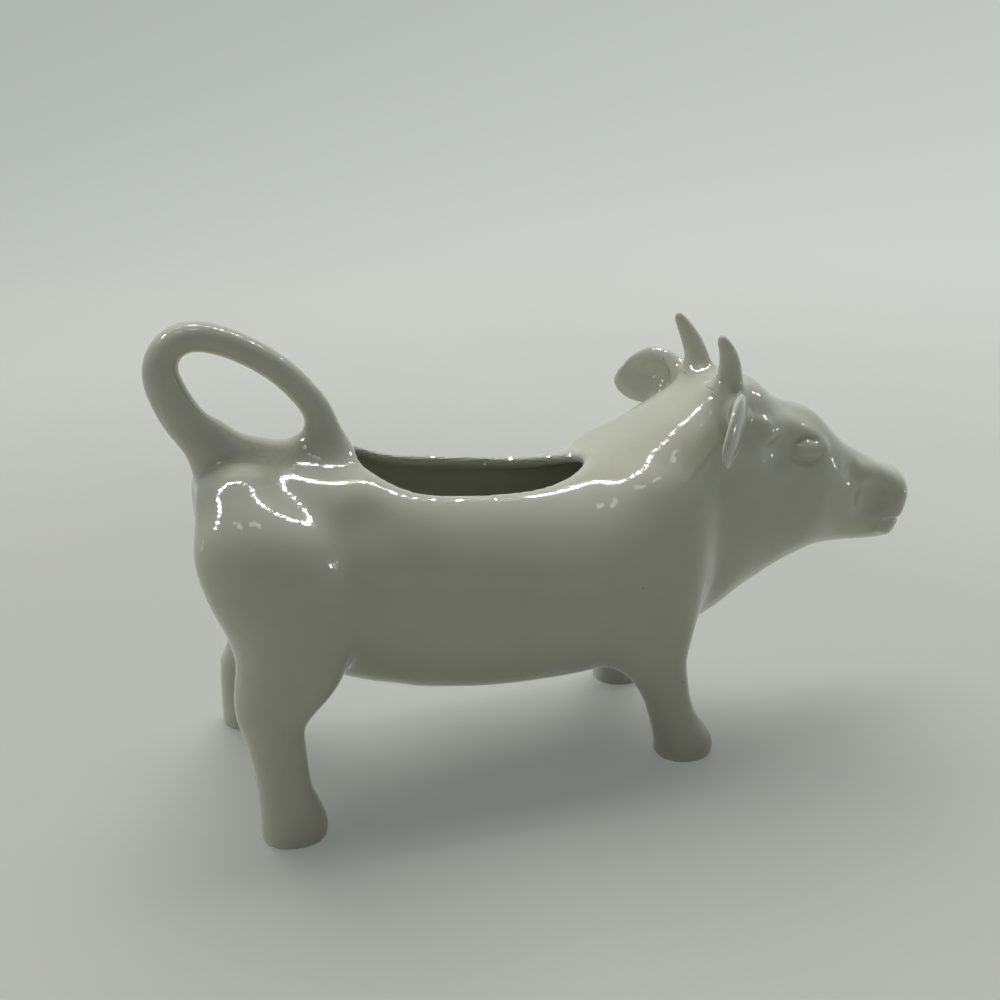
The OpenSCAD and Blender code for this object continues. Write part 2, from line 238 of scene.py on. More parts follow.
class Strand(Form):
    """Round line of clay through points, thick as each point says."""

    def __init__(self, points: Sequence[Sequence[float]], steps: int = 24) -> None:
        """Draws the line.

        Args:
            points: Rows of x, y, z and radius, in millimetres.
            steps: Number of straight pieces that the smooth line becomes.
        """
        rows = [[k, *p] for k, p in enumerate(points)]
        self.path = Rows(rows, steps + 1).values[:, 1:]
        reach = self.path[:, 3].max()
        super().__init__(self.path[:, :3].min(0) - reach, self.path[:, :3].max(0) + reach)
        self.margin = 5.0

    def distance(self, points: Array) -> Array:
        """Measures from the line and takes off its radius.

        Args:
            points: Rows of x, y and z, in millimetres.

        Returns:
            The distances.
        """
        best = np.full(len(points), FAR)
        for a, b in zip(self.path[:-1], self.path[1:]):
            d = b[:3] - a[:3]
            t = np.clip((points - a[:3]) @ d / max(d @ d, 1e-9), 0, 1)
            gap = np.linalg.norm(points - a[:3] - t[:, None] * d, axis=1)
            best = np.minimum(best, gap - (a[3] + t * (b[3] - a[3])))
        return best


class Grid(Form):
    """Form kept as distances on an even grid, read back smoothly."""

    cell: float
    start: Array
    values: Array

    def distance(self, points: Array) -> Array:
        """Reads the distances as a smooth curve between the points of the grid.

        Args:
            points: Rows of x, y and z, in millimetres.

        Returns:
            The distances.
        """
        place = points / self.cell - self.start
        i = np.clip(np.rint(place).astype(int), 1, np.array(self.values.shape) - 2)
        t = place - i
        weights = np.stack([0.5 * (0.5 - t) ** 2, 0.75 - t**2, 0.5 * (0.5 + t) ** 2])
        flat = self.values.reshape(-1)
        _, wide, deep = self.values.shape
        base = (i[:, 0] * wide + i[:, 1]) * deep + i[:, 2]
        out = np.zeros(len(points))
        for dx in (-1, 0, 1):
            for dy in (-1, 0, 1):
                across = weights[dx + 1, :, 0] * weights[dy + 1, :, 1]
                row = base + (dx * wide + dy) * deep
                for dz in (-1, 0, 1):
                    out += across * weights[dz + 1, :, 2] * flat[row + dz]
        return out

    def rub(self, values: Array, reach: float) -> Array:
        """Averages the values of a grid.

        Args:
            values: The grid.
            reach: How far the average reaches, in millimetres.

        Returns:
            The smoothed grid.
        """
        spread = reach / self.cell
        far = int(3 * spread) + 1
        steps = np.arange(-far, far + 1)
        shares = np.exp(-0.5 * (steps / spread) ** 2)
        shares = (shares / shares.sum()).astype(np.float32)
        for axis in range(3):
            total = np.zeros_like(values)
            for step, share in zip(steps, shares):
                total += share * np.roll(values, step, axis)
            values = total
        return values


def read(items: Sequence, label: str, kind: type, width: int = 1) -> Array:
    """Reads one property of every item of a mesh.

    Args:
        items: The mesh's corners, faces or loops.
        label: The property's name.
        kind: Type of its numbers.
        width: How many numbers each item has.

    Returns:
        One number, or one row of numbers, for each item.
    """
    values = np.zeros(len(items) * width, kind)
    items.foreach_get(label, values)
    return values.reshape(-1, width) if width > 1 else values


class Solid(Grid):
    """Form read from a closed mesh."""

    cell = 0.4
    band = 16

    def __init__(self, mesh: bpy.types.Mesh) -> None:
        """Measures the distances round the mesh.

        Args:
            mesh: The closed mesh, in metres.
        """
        corners = read(mesh.vertices, "co", np.float32, 3) / MM
        mesh.calc_loop_triangles()
        faces = read(mesh.loop_triangles, "vertices", np.int32, 3)
        super().__init__(corners.min(0), corners.max(0))
        self.margin = self.cell * (self.band - 2)
        grid = vdb.FloatGrid.createLevelSetFromPolygons(
            corners.astype(np.float32), triangles=faces.astype(np.uint32),
            transform=vdb.createLinearTransform(voxelSize=self.cell), halfWidth=float(self.band),
        )
        self.start = np.floor((self.low - self.margin) / self.cell).astype(int) - 2
        size = np.ceil((self.high + self.margin) / self.cell).astype(int) + 3 - self.start
        values = np.zeros(tuple(size), np.float32)
        grid.copyToArray(values, ijk=tuple(int(k) for k in self.start))
        self.values = self.rub(values, 0.4)


class Sponged(Grid):
    """Forms luted together and then smoothed, as a potter does with a wet sponge."""

    cell = 0.8
    depth = 11.0

    def __init__(self, form: Field, low: Sequence[float], high: Sequence[float], reach: float, feet_z: float) -> None:
        """Works out the distances on the grid.

        Args:
            form: The rough form.
            low: Its lowest corner, in millimetres.
            high: Its highest corner.
            reach: How far the sponge smooths.
            feet_z: Height below which the form stays as it was.
        """
        super().__init__(low, high)
        self.margin = 8.0
        self.start = np.floor((self.low - self.margin) / self.cell).astype(int) - 2
        size = np.ceil((self.high + self.margin) / self.cell).astype(int) + 3 - self.start
        axes = [(self.start[k] + np.arange(size[k])) * self.cell for k in range(3)]
        rough = np.zeros(tuple(size), np.float32)
        for i in range(0, size[0], 12):
            block = np.stack(np.meshgrid(axes[0][i:i + 12], axes[1], axes[2], indexing="ij"), -1)
            rough[i:i + 12] = form(block.reshape(-1, 3)).reshape(block.shape[:3])
        rough = np.clip(rough, -self.depth, self.depth)
        once = self.rub(rough, reach)
        smooth = 2 * once - self.rub(once, reach)
        share = np.clip((axes[2] - feet_z) / feet_z, 0, 1).astype(np.float32)
        share = share * share * (3 - 2 * share)
        self.values = rough + (smooth - rough) * share


def new_group(name: str, kind: str, sockets: Sequence[tuple]) -> bpy.types.NodeTree:
    """Makes a node group with named sockets.

    Args:
        name: The group's name.
        kind: The tree's type.
        sockets: Rows of name, "INPUT" or "OUTPUT", socket type and default or None.

    Returns:
        The group, with its two end nodes.
    """
    tree = bpy.data.node_groups.new(name, kind)
    for label, way, socket_type, default in sockets:
        made = tree.interface.new_socket(label, in_out=way, socket_type=socket_type)
        if default is not None:
            made.default_value = default
    tree.nodes.new("NodeGroupInput")
    tree.nodes.new("NodeGroupOutput")
    return tree


class TubeTree:
    """Geometry Nodes tree that turns a path into a tube of clay."""

    sides = 56

    def __init__(self) -> None:
        """Builds the tree once."""
        tree = new_group("clay_tube", "GeometryNodeTree", [
            ("Path", "INPUT", "NodeSocketGeometry", None),
            ("Sections", "INPUT", "NodeSocketInt", 120),
            ("Sides", "INPUT", "NodeSocketInt", 48),
            ("Girth", "INPUT", "NodeSocketFloat", 1.0),
            ("Finish", "INPUT", "NodeSocketMaterial", None),
            ("Tube", "OUTPUT", "NodeSocketGeometry", None),
        ])
        nodes, links = tree.nodes, tree.links
        start, end = nodes["Group Input"], nodes["Group Output"]
        even = nodes.new("GeometryNodeResampleCurve")
        ring = nodes.new("GeometryNodeCurvePrimitiveCircle")
        tube = nodes.new("GeometryNodeCurveToMesh")
        smooth = nodes.new("GeometryNodeSetShadeSmooth")
        real = nodes.new("GeometryNodeRealizeInstances")
        finish = nodes.new("GeometryNodeSetMaterial")
        tube.inputs["Fill Caps"].default_value = True
        links.new(start.outputs["Path"], even.inputs["Curve"])
        links.new(start.outputs["Sections"], even.inputs["Count"])
        links.new(start.outputs["Sides"], ring.inputs["Resolution"])
        links.new(start.outputs["Girth"], ring.inputs["Radius"])
        links.new(even.outputs["Curve"], tube.inputs["Curve"])
        links.new(ring.outputs["Curve"], tube.inputs["Profile Curve"])
        if "Scale" in tube.inputs:
            radius = nodes.new("GeometryNodeInputRadius")
            links.new(radius.outputs["Radius"], tube.inputs["Scale"])
        links.new(tube.outputs["Mesh"], smooth.inputs["Geometry"])
        links.new(smooth.outputs["Geometry"], real.inputs["Geometry"])
        links.new(real.outputs["Geometry"], finish.inputs["Geometry"])
        links.new(start.outputs["Finish"], finish.inputs["Material"])
        links.new(finish.outputs["Geometry"], end.inputs["Tube"])
        self.tree = tree

    def make(self, name: str, path: Array, finish: bpy.types.Material, sections: int) -> bpy.types.Mesh:
        """Runs the tree along a path.

        Args:
            name: Name of the mesh.
            path: Rows of x, y, z and radius, in millimetres.
            finish: Material of the tube.
            sections: Number of sections along the path.

        Returns:
            The tube as a plain mesh, in metres.
        """
        line = bpy.data.curves.new(name + "_path", "CURVE")
        line.dimensions = "3D"
        spline = line.splines.new("POLY")
        spline.points.add(len(path) - 1)
        for point, (x, y, z, radius) in zip(spline.points, path):
            point.co = (x * MM, y * MM, z * MM, 1)
            point.radius = radius * MM
        holder = bpy.data.objects.new(name + "_guide", line)
        bpy.context.scene.collection.objects.link(holder)
        modifier = holder.modifiers.new("tube", "NODES")
        modifier.node_group = self.tree
        named = {s.name: s.identifier for s in self.tree.interface.items_tree if s.in_out == "INPUT"}
        modifier[named["Sections"]] = sections
        modifier[named["Sides"]] = self.sides
        modifier[named["Girth"]] = 1.0
        modifier[named["Finish"]] = finish
        graph = bpy.context.evaluated_depsgraph_get()
        mesh = bpy.data.meshes.new_from_object(holder.evaluated_get(graph), depsgraph=graph)
        mesh.name = name
        holder.modifiers.remove(modifier)
        bpy.data.objects.remove(holder)
        bpy.data.curves.remove(line)
        return mesh


@dataclass
class Trunk:
    """Barrel, neck and head, which are one flowing form, and their hollow."""

    rump_x: float = -88.0
    body_l: float = 121.0
    body_w: float = 52.0
    belly_z: float = 20.0
    body_h: float = 61.5
    chest_z: float = 26.5
    neck_h: float = 64.5
    neck_w: float = 36.0
    head_l: float = 64.5
    wall: float = 3.0
    mouth_w: float = 8.0
    mouth_h: float = 6.0
    mouth_z: float = 51.0
    barrel_shares: tuple = (
        (0.009, 0.755, 0.79, 0.06, 2, 2),
        (0.012, 0.68, 0.862, 0.27, 2, 2),
        (0.0155, 0.6, 0.919, 0.46, 2, 2),
        (0.026, 0.5, 0.96, 0.635, 2.1, 2.1),
        (0.05, 0.39, 0.984, 0.78, 2.2, 2.2),
        (0.104, 0.276, 0.997, 0.885, 2.2, 2.2),
        (0.187, 0.18, 1.003, 0.923, 2.2, 2.2),
        (0.293, 0.093, 0.992, 0.942, 2.2, 2.4),
        (0.352, 0.062, 0.95, 0.955, 2.2, 2.55),
        (0.41, 0.037, 0.924, 0.97, 2.3, 2.5),
        (0.542, 0.005, 0.898, 1, 2.3, 2.3),
        (0.674, 0, 0.878, 1, 2.3, 2.1),
        (0.765, 0.007, 0.898, 0.975, 2.3, 2.1),
        (0.848, 0.024, 0.972, 0.92, 2.2, 2.3),
        (0.922, 0.054, 1.062, 0.82, 2.1, 2.6),
    )
    head_shares: tuple = (
        (0, 0, 1, 1, 2, 2.8),
        (0.055, 0.024, 1.023, 0.97, 2, 2.9),
        (0.132, 0.065, 1.031, 0.93, 2, 2.8),
        (0.208, 0.12, 1.022, 0.89, 2, 2.6),
        (0.271, 0.155, 0.975, 0.84, 2, 2.4),
        (0.334, 0.192, 0.93, 0.81, 2, 2.2),
        (0.395, 0.223, 0.901, 0.785, 2, 2.1),
        (0.474, 0.254, 0.878, 0.755, 2, 2.1),
        (0.522, 0.268, 0.854, 0.72, 2, 2.1),
        (0.563, 0.278, 0.817, 0.67, 2, 2.1),
        (0.662, 0.284, 0.726, 0.57, 2.1, 2.2),
        (0.748, 0.282, 0.672, 0.53, 2.2, 2.2),
        (0.839, 0.279, 0.623, 0.51, 2.2, 2.2),
        (0.9, 0.285, 0.598, 0.49, 2.2, 2.2),
        (0.94, 0.325, 0.582, 0.44, 2.1, 2.2),
        (0.97, 0.39, 0.563, 0.36, 2, 2.1),
        (0.992, 0.45, 0.54, 0.25, 2, 2),
        (1, 0.475, 0.517, 0.11, 2, 2),
    )
    hollow_end_share: float = 0.7
    duct_start_share: float = 0.82
    duct_drop_share: float = 0.4

    @property
    def neck_x(self) -> float:
        """Place of the neck seam."""
        return self.rump_x + self.body_l

    def barrel(self) -> list[tuple]:
        """Returns the barrel's rows: place, underside, top, half width, squareness."""
        return [(self.rump_x + s * self.body_l, self.belly_z + a * self.body_h, self.belly_z + b * self.body_h,
                 w * self.body_w / 2, n, m) for s, a, b, w, n, m in self.barrel_shares]

    def head(self, upto: float = 2.0) -> list[tuple]:
        """Returns the head's rows as far as a share of its length."""
        return [(self.neck_x + s * self.head_l, self.chest_z + a * self.neck_h, self.chest_z + b * self.neck_h,
                 w * self.neck_w / 2, n, m) for s, a, b, w, n, m in self.head_shares if s < upto]

    def skin(self) -> Loft:
        """Returns the outside of barrel and head as one form."""
        return Loft(Axis.ALONG, [self.section(*r) for r in self.barrel() + self.head()])

    def hollow(self) -> Loft:
        """Returns the hollow, one wall inside, which narrows to the mouth."""
        wall, kept = self.wall, (self.body_l - self.wall) / self.body_l
        inside = [(self.rump_x + wall + (x - self.rump_x) * kept, a + wall, b - wall, max(w - wall, wall), n, m)
                  for x, a, b, w, n, m in self.barrel()[1:]]
        inside += [(x, a + wall, b - wall, w - wall, n, m) for x, a, b, w, n, m in self.head(self.hollow_end_share)]
        last, low, high = inside[-1], self.mouth_z - self.mouth_h / 2, self.mouth_z + self.mouth_h / 2
        duct = self.neck_x + self.duct_start_share * self.head_l
        end = self.neck_x + self.head_l
        inside += [
            (duct, low, high + (last[2] - high) * self.duct_drop_share, (self.mouth_w / 2 + last[3]) / 2, 2, 2),
            ((duct + end) / 2, low, high, self.mouth_w / 2, 2, 2),
            (end + 2 * wall, low, high, self.mouth_w / 2, 2, 2),
        ]
        return Loft(Axis.ALONG, [self.section(*r) for r in inside])

    @staticmethod
    def section(x: float, low: float, high: float, half: float, n: float, m: float) -> tuple:
        """Turns a row of heights into one of middles and half sizes."""
        return x, 0.0, (low + high) / 2, half, (high - low) / 2, n, m


@dataclass
class FillingHole:
    """Egg-shaped hole in the back."""

    start_x: float = -52.5
    length: float = 56.0
    width: float = 24.0
    egg: float = 0.15
    blunt: float = 0.9
    floor_z: float = 52.0

    def distance(self, points: Array) -> Array:
        """Measures from the wall of the cut.

        Args:
            points: Rows of x, y and z, in millimetres.

        Returns:
            The distances, negative inside the hole.
        """
        along = (points[:, 0] - self.start_x - self.length / 2) / (self.length / 2)
        half = (1 - self.egg * np.clip(along, -1, 1)) * self.width / 2
        across = points[:, 1] / half
        n = np.where(along < 0, 2 + self.blunt * np.clip(-4 * along, 0, 1), 2.0)
        far, wide = np.abs(along) ** (n - 1), np.abs(across) ** (n - 1)
        total = far * np.abs(along) + wide * np.abs(across) + 1e-9
        rho = total ** (1 / n) + 1e-6
        slope = rho / total * np.hypot(far / (self.length / 2), wide / half) + 1e-6
        return np.maximum((rho - 1) / slope, self.floor_z - points[:, 2])


@dataclass
class Limb:
    """A leg with its haunch or shoulder, from the sole up."""

    node: str
    side: Side
    middle_x: float
    track: float
    mass_l: float
    mass_w: float
    top_z: float
    leg_shares: tuple
    mass_shares: tuple
    stance_shares: tuple = ()
    seam_z: float = 20.0
    hoof_l: float = 15.0
    hoof_w: float = 13.4

    def form(self) -> Loft:
        """Returns the limb as one form."""
        rows = [(z * self.seam_z, fwd * self.hoof_l, inward * self.hoof_w, long * self.hoof_l, wide * self.hoof_w)
                for z, fwd, inward, long, wide in self.leg_shares]
        rows += [(self.seam_z + z * (self.top_z - self.seam_z), fwd * self.mass_l, inward * self.mass_w,
                  long * self.mass_l, wide * self.mass_w) for z, fwd, inward, long, wide in self.mass_shares]
        shifts = list(self.stance_shares) + [0.0] * len(rows)
        return Loft(Axis.UP, [
            (z, self.middle_x + fwd + shift * self.hoof_l, self.side.value * (self.track / 2 - inward),
             long / 2, wide / 2, 2.2, 2.2)
            for (z, fwd, inward, long, wide), shift in zip(rows, shifts)])


REAR_LEG = ((-0.1, 0, 0, 0.9, 0.9), (0, 0, 0, 0.97, 0.96), (0.135, 0, 0, 1, 1), (0.325, -0.037, 0, 0.93, 0.95),
            (0.61, -0.121, 0, 0.81, 0.84), (0.89, -0.168, 0.016, 0.8, 0.8), (1, -0.187, 0.03, 0.813, 0.806))
HAUNCH = ((0.05, -0.112, 0.03, 0.45, 0.505), (0.117, -0.134, 0.06, 0.488, 0.56), (0.17, -0.118, 0.08, 0.579, 0.618),
          (0.223, -0.0625, 0.1, 0.718, 0.68), (0.293, 0.007, 0.14, 0.829, 0.77), (0.383, 0.054, 0.19, 0.879, 0.86),
          (0.488, 0.04, 0.24, 0.96, 0.94), (0.628, -0.015, 0.29, 1.1, 1), (0.77, -0.07, 0.35, 1.13, 0.98),
          (0.88, -0.14, 0.44, 0.9, 0.88), (0.955, -0.22, 0.53, 0.46, 0.62), (0.988, -0.25, 0.57, 0.27, 0.38),
          (1, -0.25, 0.57, 0.06, 0.06))
LEFT_STANCE = (-0.085, -0.085, -0.085, -0.085, -0.06, 0, 0.07, 0.2, 0.24, 0.22, 0.18, 0.1, 0.04, 0.06,
               0.18, 0.26, 0.22, 0.24, 0.24, 0.24)
FRONT_LEG = ((-0.1, 0, 0, 0.9, 0.9), (0, 0, 0, 0.97, 0.96), (0.135, 0, 0, 1, 1), (0.295, -0.075, 0, 0.95, 0.95),
             (0.515, -0.224, 0.007, 0.83, 0.86), (0.755, -0.353, 0.022, 0.8, 0.82), (1, -0.48, 0.04, 0.9, 0.873))
SHOULDER = ((0.054, -0.3, 0.04, 0.54, 0.61), (0.125, -0.375, 0.06, 0.67, 0.67), (0.257, -0.44, 0.1, 0.9, 0.8),
            (0.405, -0.44, 0.15, 1, 0.92), (0.58, -0.42, 0.21, 1, 1), (0.755, -0.39, 0.27, 0.92, 0.98),
            (0.895, -0.36, 0.34, 0.75, 0.8), (1, -0.34, 0.42, 0.42, 0.5), (1.012, -0.34, 0.42, 0.06, 0.06))


def rear_limb(side: Side) -> Limb:
    """Returns a rear leg with its haunch; the left one stands a little differently."""
    name = "rear_left_leg" if side is Side.LEFT else "rear_right_leg"
    return Limb(name, side, -73.2, 51.6, 28, 22, 80, REAR_LEG, HAUNCH, LEFT_STANCE if side is Side.LEFT else ())


def front_limb(side: Side) -> Limb:
    """Returns a front leg with its shoulder."""
    name = "front_left_leg" if side is Side.LEFT else "front_right_leg"
    return Limb(name, side, 27.5, 39.6, 28, 20, 76, FRONT_LEG, SHOULDER)


@dataclass
class Tail:
    """Looped tail, which is the handle, and the ridge it stands on."""

    middle_x: float = -77.8
    length: float = 41.0
    seam_z: float = 91.5
    height: float = 18.5
    thickness: float = 6.6
    back_z: float = 81.5
    base_z: float = 75.5
    easing: float = 2.2
    path_shares: tuple = (
        (-0.088, -0.71, 1.6), (-0.188, -0.335, 1.33), (-0.305, 0, 1.18), (-0.363, 0.285, 1.16),
        (-0.4, 0.58, 1.13), (-0.349, 0.885, 1.03), (-0.215, 1, 1), (-0.002, 0.85, 0.955),
        (0.22, 0.53, 0.94), (0.373, 0.157, 0.94), (0.42, 0, 1), (0.451, -0.265, 1.15), (0.502, -0.65, 1.6),
    )
    ridge_shares: tuple = (
        (-0.225, 0.15, 0.45), (-0.17, 0.9, 0.55), (-0.11, 0.88, 0.58), (-0.04, 0.68, 0.6), (0.076, 0.49, 0.6),
        (0.176, 0.36, 0.6), (0.26, 0.31, 0.6), (0.34, 0.45, 0.6), (0.4, 0.5, 0.6), (0.485, 0.3, 0.5), (0.595, 0, 0.4),
    )

    def path(self) -> Array:
        """Returns the tail's points and radii, in millimetres."""
        rows = Rows([(k, self.middle_x + x * self.length, 0.0, self.seam_z + z * self.height,
                      d * self.thickness / 2) for k, (x, z, d) in enumerate(self.path_shares)], 1200)
        return even_path(rows.values[:, 1:], 260, self.easing)

    def ridge(self) -> Loft:
        """Returns the ridge between the roots of the tail."""
        rows = []
        for x, z, w in self.ridge_shares:
            top = self.back_z + z * (self.seam_z - self.back_z)
            rows.append((self.middle_x + x * self.length, 0.0, (self.base_z + top) / 2, w * self.thickness,
                         (top - self.base_z) / 2, 2, 2))
        return Loft(Axis.ALONG, rows)


@dataclass
class Horn:
    """Short blunt horn."""

    side: Side
    start_x: float = 37.0
    gap: float = 17.0
    seam_z: float = 95.0
    height: float = 11.0
    thickness: float = 6.0
    shares: tuple = ((-0.6, 0, -0.15, 1.35), (-0.25, 0, -0.04, 1.15), (0, 0, 0, 1), (0.3, 0.08, 0.1, 0.86),
                     (0.6, 0.22, 0.2, 0.68), (0.82, 0.36, 0.24, 0.5), (0.93, 0.43, 0.24, 0.38),
                     (0.985, 0.47, 0.24, 0.2), (1, 0.48, 0.24, 0.04))

    def path(self) -> Array:
        """Returns the horn's points and radii, in millimetres."""
        rows = Rows([(k, self.start_x - back * self.height, self.side.value * (self.gap / 2 + out * self.height),
                      self.seam_z + up * self.height, d * self.thickness / 2)
                     for k, (up, back, out, d) in enumerate(self.shares)], 400)
        return even_path(rows.values[:, 1:], 90, 0.6)


@dataclass
class Ear:
    """Leaf-shaped ear with a scooped hollow."""

    side: Side
    start_x: float = 34.5
    middle_z: float = 88.0
    seam_y: float = 18.5
    length: float = 11.5
    height: float = 15.0
    thickness: float = 5.0
    shares: tuple = ((-0.87, -0.38, 0.08, 0.4, 1), (-0.49, -0.23, 0.04, 0.5, 1), (-0.245, -0.13, 0, 0.62, 1),
                     (0, 0, 0, 0.79, 1), (0.38, 0.245, 0.12, 1, 0.95), (0.69, 0.49, 0.245, 0.85, 0.8),
                     (0.9, 0.69, 0.345, 0.5, 0.55), (1, 0.795, 0.39, 0.15, 0.25))

    def rows(self) -> list[tuple]:
        """Returns the ear's rows on its own side."""
        s = self.side.value
        rows = [(s * (self.seam_y + out * self.length), self.start_x - back * self.length,
                 self.middle_z - down * self.length, t * self.thickness / 2, h * self.height / 2, 2, 2)
                for out, back, down, h, t in self.shares]
        return rows if s > 0 else rows[::-1]

    def form(self) -> Loft:
        """Returns the ear's outer form."""
        return Loft(Axis.ACROSS, self.rows())

    def cup(self) -> Ball:
        """Returns the hollow of the ear, which opens forward and outward."""
        s = self.side.value
        tip = Vector((-0.795, s, -0.39)).normalized()
        face = tip.cross(Vector((0, 0, 1))).normalized() * -s
        middle = Vector((self.start_x - 0.27 * self.length, s * (self.seam_y + 0.42 * self.length),
                         self.middle_z - 0.14 * self.length)) + face * 2.7
        return Ball(middle, (7.6, 2.9, 5.4), Matrix((tip, face, tip.cross(face))).transposed())


@dataclass(frozen=True)
class Touch:
    """One press or pellet of clay: a form, how softly it joins, and whether it cuts."""

    form: Form
    reach: float
    cut: bool = False


@dataclass(frozen=True)
class Lump:
    """Swelling of the rump on both sides, the left one a little further forward."""

    middle: tuple
    halves: tuple
    reach: float
    left_shift: float = 0.0

    def forms(self) -> list[tuple]:
        """Returns the two forms, each with the reach over which it joins."""
        x, y, z = self.middle
        return [(Ball((x + (self.left_shift if side is Side.LEFT else 0), y * side.value, z), self.halves), self.reach)
                for side in Side]


TAIL_WEB = ((-92.5, 0, 102.6, 1.0), (-91.5, 0, 99.4, 1.9), (-90.1, 0, 95.5, 2.5), (-87.1, 0, 90.7, 2.9),
            (-82.6, 0, 86.2, 3.1))
LUMPS = (Lump((-81.5, 9.0, 75.2), (7.8, 8.0, 7.2), 7.0, 6.4), Lump((-71, 4.5, 72.8), (14, 8.5, 8.0), 6.0, 1.0),
         Lump((-63.5, 10.5, 70.4), (8.5, 7.2, 7.0), 6.0))
FLANK_GROOVE = ((-55.2, -27, 75, 8.4), (-56, -32.4, 66.5, 9), (-57.6, -36, 55.5, 9), (-59.8, -37.8, 47, 8.2))


@dataclass(frozen=True)
class Luting:
    """How far from each joint the slip is smoothed, in millimetres."""

    limbs: float = 9.0
    flank: float = 6.5
    ridge: float = 8.0
    sponge: float = 1.9
    feet_z: float = 12.0
    tail: float = 5.5
    web: float = 3.5
    ear: float = 4.0
    horn: float = 6.5
    cup: float = 1.6
    hollow: float = 1.5
    hole: float = 3.6


class Clay:
    """The whole figure as one field of distances."""

    luting = Luting()
    low, high = (-97, -34, -2), (99, 34, 95)
    passes, near_probe, far_probe, least_slope = 6, 0.4, 0.8, 0.2

    def __init__(self, trunk: Trunk, tail: Tail, limbs: Sequence[Limb], ears: Sequence[Ear],
                 tail_tube: bpy.types.Mesh, horn_tubes: Sequence[bpy.types.Mesh], hole: FillingHole) -> None:
        """Keeps the forms that are luted together.

        Args:
            trunk: Barrel, neck and head.
            tail: The tail, for its ridge.
            limbs: The four legs with their masses.
            ears: The two ears.
            tail_tube: The tail as a mesh.
            horn_tubes: The horns as meshes.
            hole: The filling hole.
        """
        self.skin, self.hollow, self.hole = trunk.skin(), trunk.hollow(), hole
        self.limbs = [limb.form() for limb in limbs]
        self.ridge, self.tail = tail.ridge(), Solid(tail_tube)
        self.horns = [Solid(tube) for tube in horn_tubes]
        self.lumps = [form for lump in LUMPS for form in lump.forms()]
        self.grooves = [Strand([(x, -y * side.value, z, r) for x, y, z, r in FLANK_GROOVE]) for side in Side]
        self.trunk = Sponged(self.rough, self.low, self.high, self.luting.sponge, self.luting.feet_z)
        self.web = Strand(TAIL_WEB)
        self.ears, self.cups = [ear.form() for ear in ears], [ear.cup() for ear in ears]
        self.touches: list[Touch] = []

    def rough(self, p: Array) -> Array:
        """Luts the barrel, the head and the limbs together.

        Args:
            p: Rows of x, y and z, in millimetres.

        Returns:
            Distances to them.
        """
        body = self.skin(p)
        for limb in self.limbs:
            body = fuse(body, limb(p), self.luting.limbs)
        for lump, reach in self.lumps:
            body = fuse(body, lump(p), reach)
        for groove in self.grooves:
            body = carve(body, groove(p), self.luting.flank)
        return fuse(body, self.ridge(p), self.luting.ridge)

    def outside(self, p: Array) -> Array:
        """Adds tail, ears, horns and features to the trunk.

        Args:
            p: Rows of x, y and z, in millimetres.

        Returns:
            Distances to the outside, without the hollow.
        """
        body = fuse(self.trunk(p), self.tail(p), self.luting.tail)
        body = fuse(body, self.web(p), self.luting.web)
        for ear in self.ears:
            body = fuse(body, ear(p), self.luting.ear)
        for horn in self.horns:
            body = fuse(body, horn(p), self.luting.horn)
        for cup in self.cups:
            body = carve(body, cup(p), self.luting.cup)
        for touch in self.touches:
            body = (carve if touch.cut else fuse)(body, touch.form(p), touch.reach)
        return body

    def __call__(self, p: Array) -> Array:
        """Returns distances to the finished clay."""
        clay = carve(self.outside(p), self.hollow(p), self.luting.hollow)
        clay = carve(clay, self.hole.distance(p), self.luting.hole)
        return np.maximum(clay, -p[:, 2])

    def settle(self, points: Sequence[Sequence[float]], sink: float) -> Array:
        """Moves points to the skin and then inward.

        Args:
            points: Rows of x, y and z near the skin, in millimetres.
            sink: How far below the skin the points end, negative for above it.

        Returns:
            The moved points.
        """
        at = np.array(points, float)
        for _ in range(self.passes):
            slope = gradient(self.outside, at, self.near_probe)
            size = np.maximum((slope**2).sum(1), self.least_slope)[:, None]
            at -= np.clip(self.outside(at), -1, 1)[:, None] * slope / size
        slope = gradient(self.outside, at, self.far_probe)
        return at - sink * slope / np.linalg.norm(slope, axis=1)[:, None]


@dataclass(frozen=True)
class Pellet:
    """Small roll of clay laid on the head, or a groove pressed into it, on both sides."""

    points: tuple
    radii: tuple
    proud: float
    reach: float
    cut: bool = False
    joined: bool = False


@dataclass(frozen=True)
class Press:
    """Rounded hollow or swelling of the head, on both sides."""

    middle: tuple
    halves: tuple
    height: float
    reach: float
    cut: bool = False


BROW = Pellet(((46.5, -13.6, 81.6), (50, -12.2, 82.2), (53.5, -10.9, 82.2), (57.5, -9.9, 80.9), (61, -10.1, 78.6),
               (63.8, -10.8, 75.6)), (1.7, 2.7, 3.4, 3.4, 2.8, 1.6), 0.7, 4.0)
EAR_RIDGE = Pellet(((38, -17, 88), (41.5, -15.4, 86), (45, -13.6, 84)), (1.6, 1.5, 1.2), 0.5, 3.0)
SOCKET = Press((50.5, -13.8, 76.4), (7.0, 3.6, 5.2), 1.6, 4.0, True)
EYEBALL = Press((58.9, -12.0, 75.6), (4.1, 2.6, 2.4), 0.95, 2.2)
LOWER_LID = Pellet(((54.3, -13.2, 75.0), (56.4, -13.2, 73.5), (59.6, -12.6, 72.6), (63.2, -11.8, 73.6)),
                   (0.5, 0.8, 0.8, 0.4), 0.3, 1.4, True)
UPPER_LID = Pellet(((55.4, -12.1, 77.4), (58.4, -11.1, 78.6), (61.6, -10.9, 77.4)), (0.5, 0.7, 0.5), 0.2, 1.4, True)
NOSE_DIP = Press((75.2, -9.0, 67.0), (4.2, 2.6, 3.2), 0.45, 3.4, True)
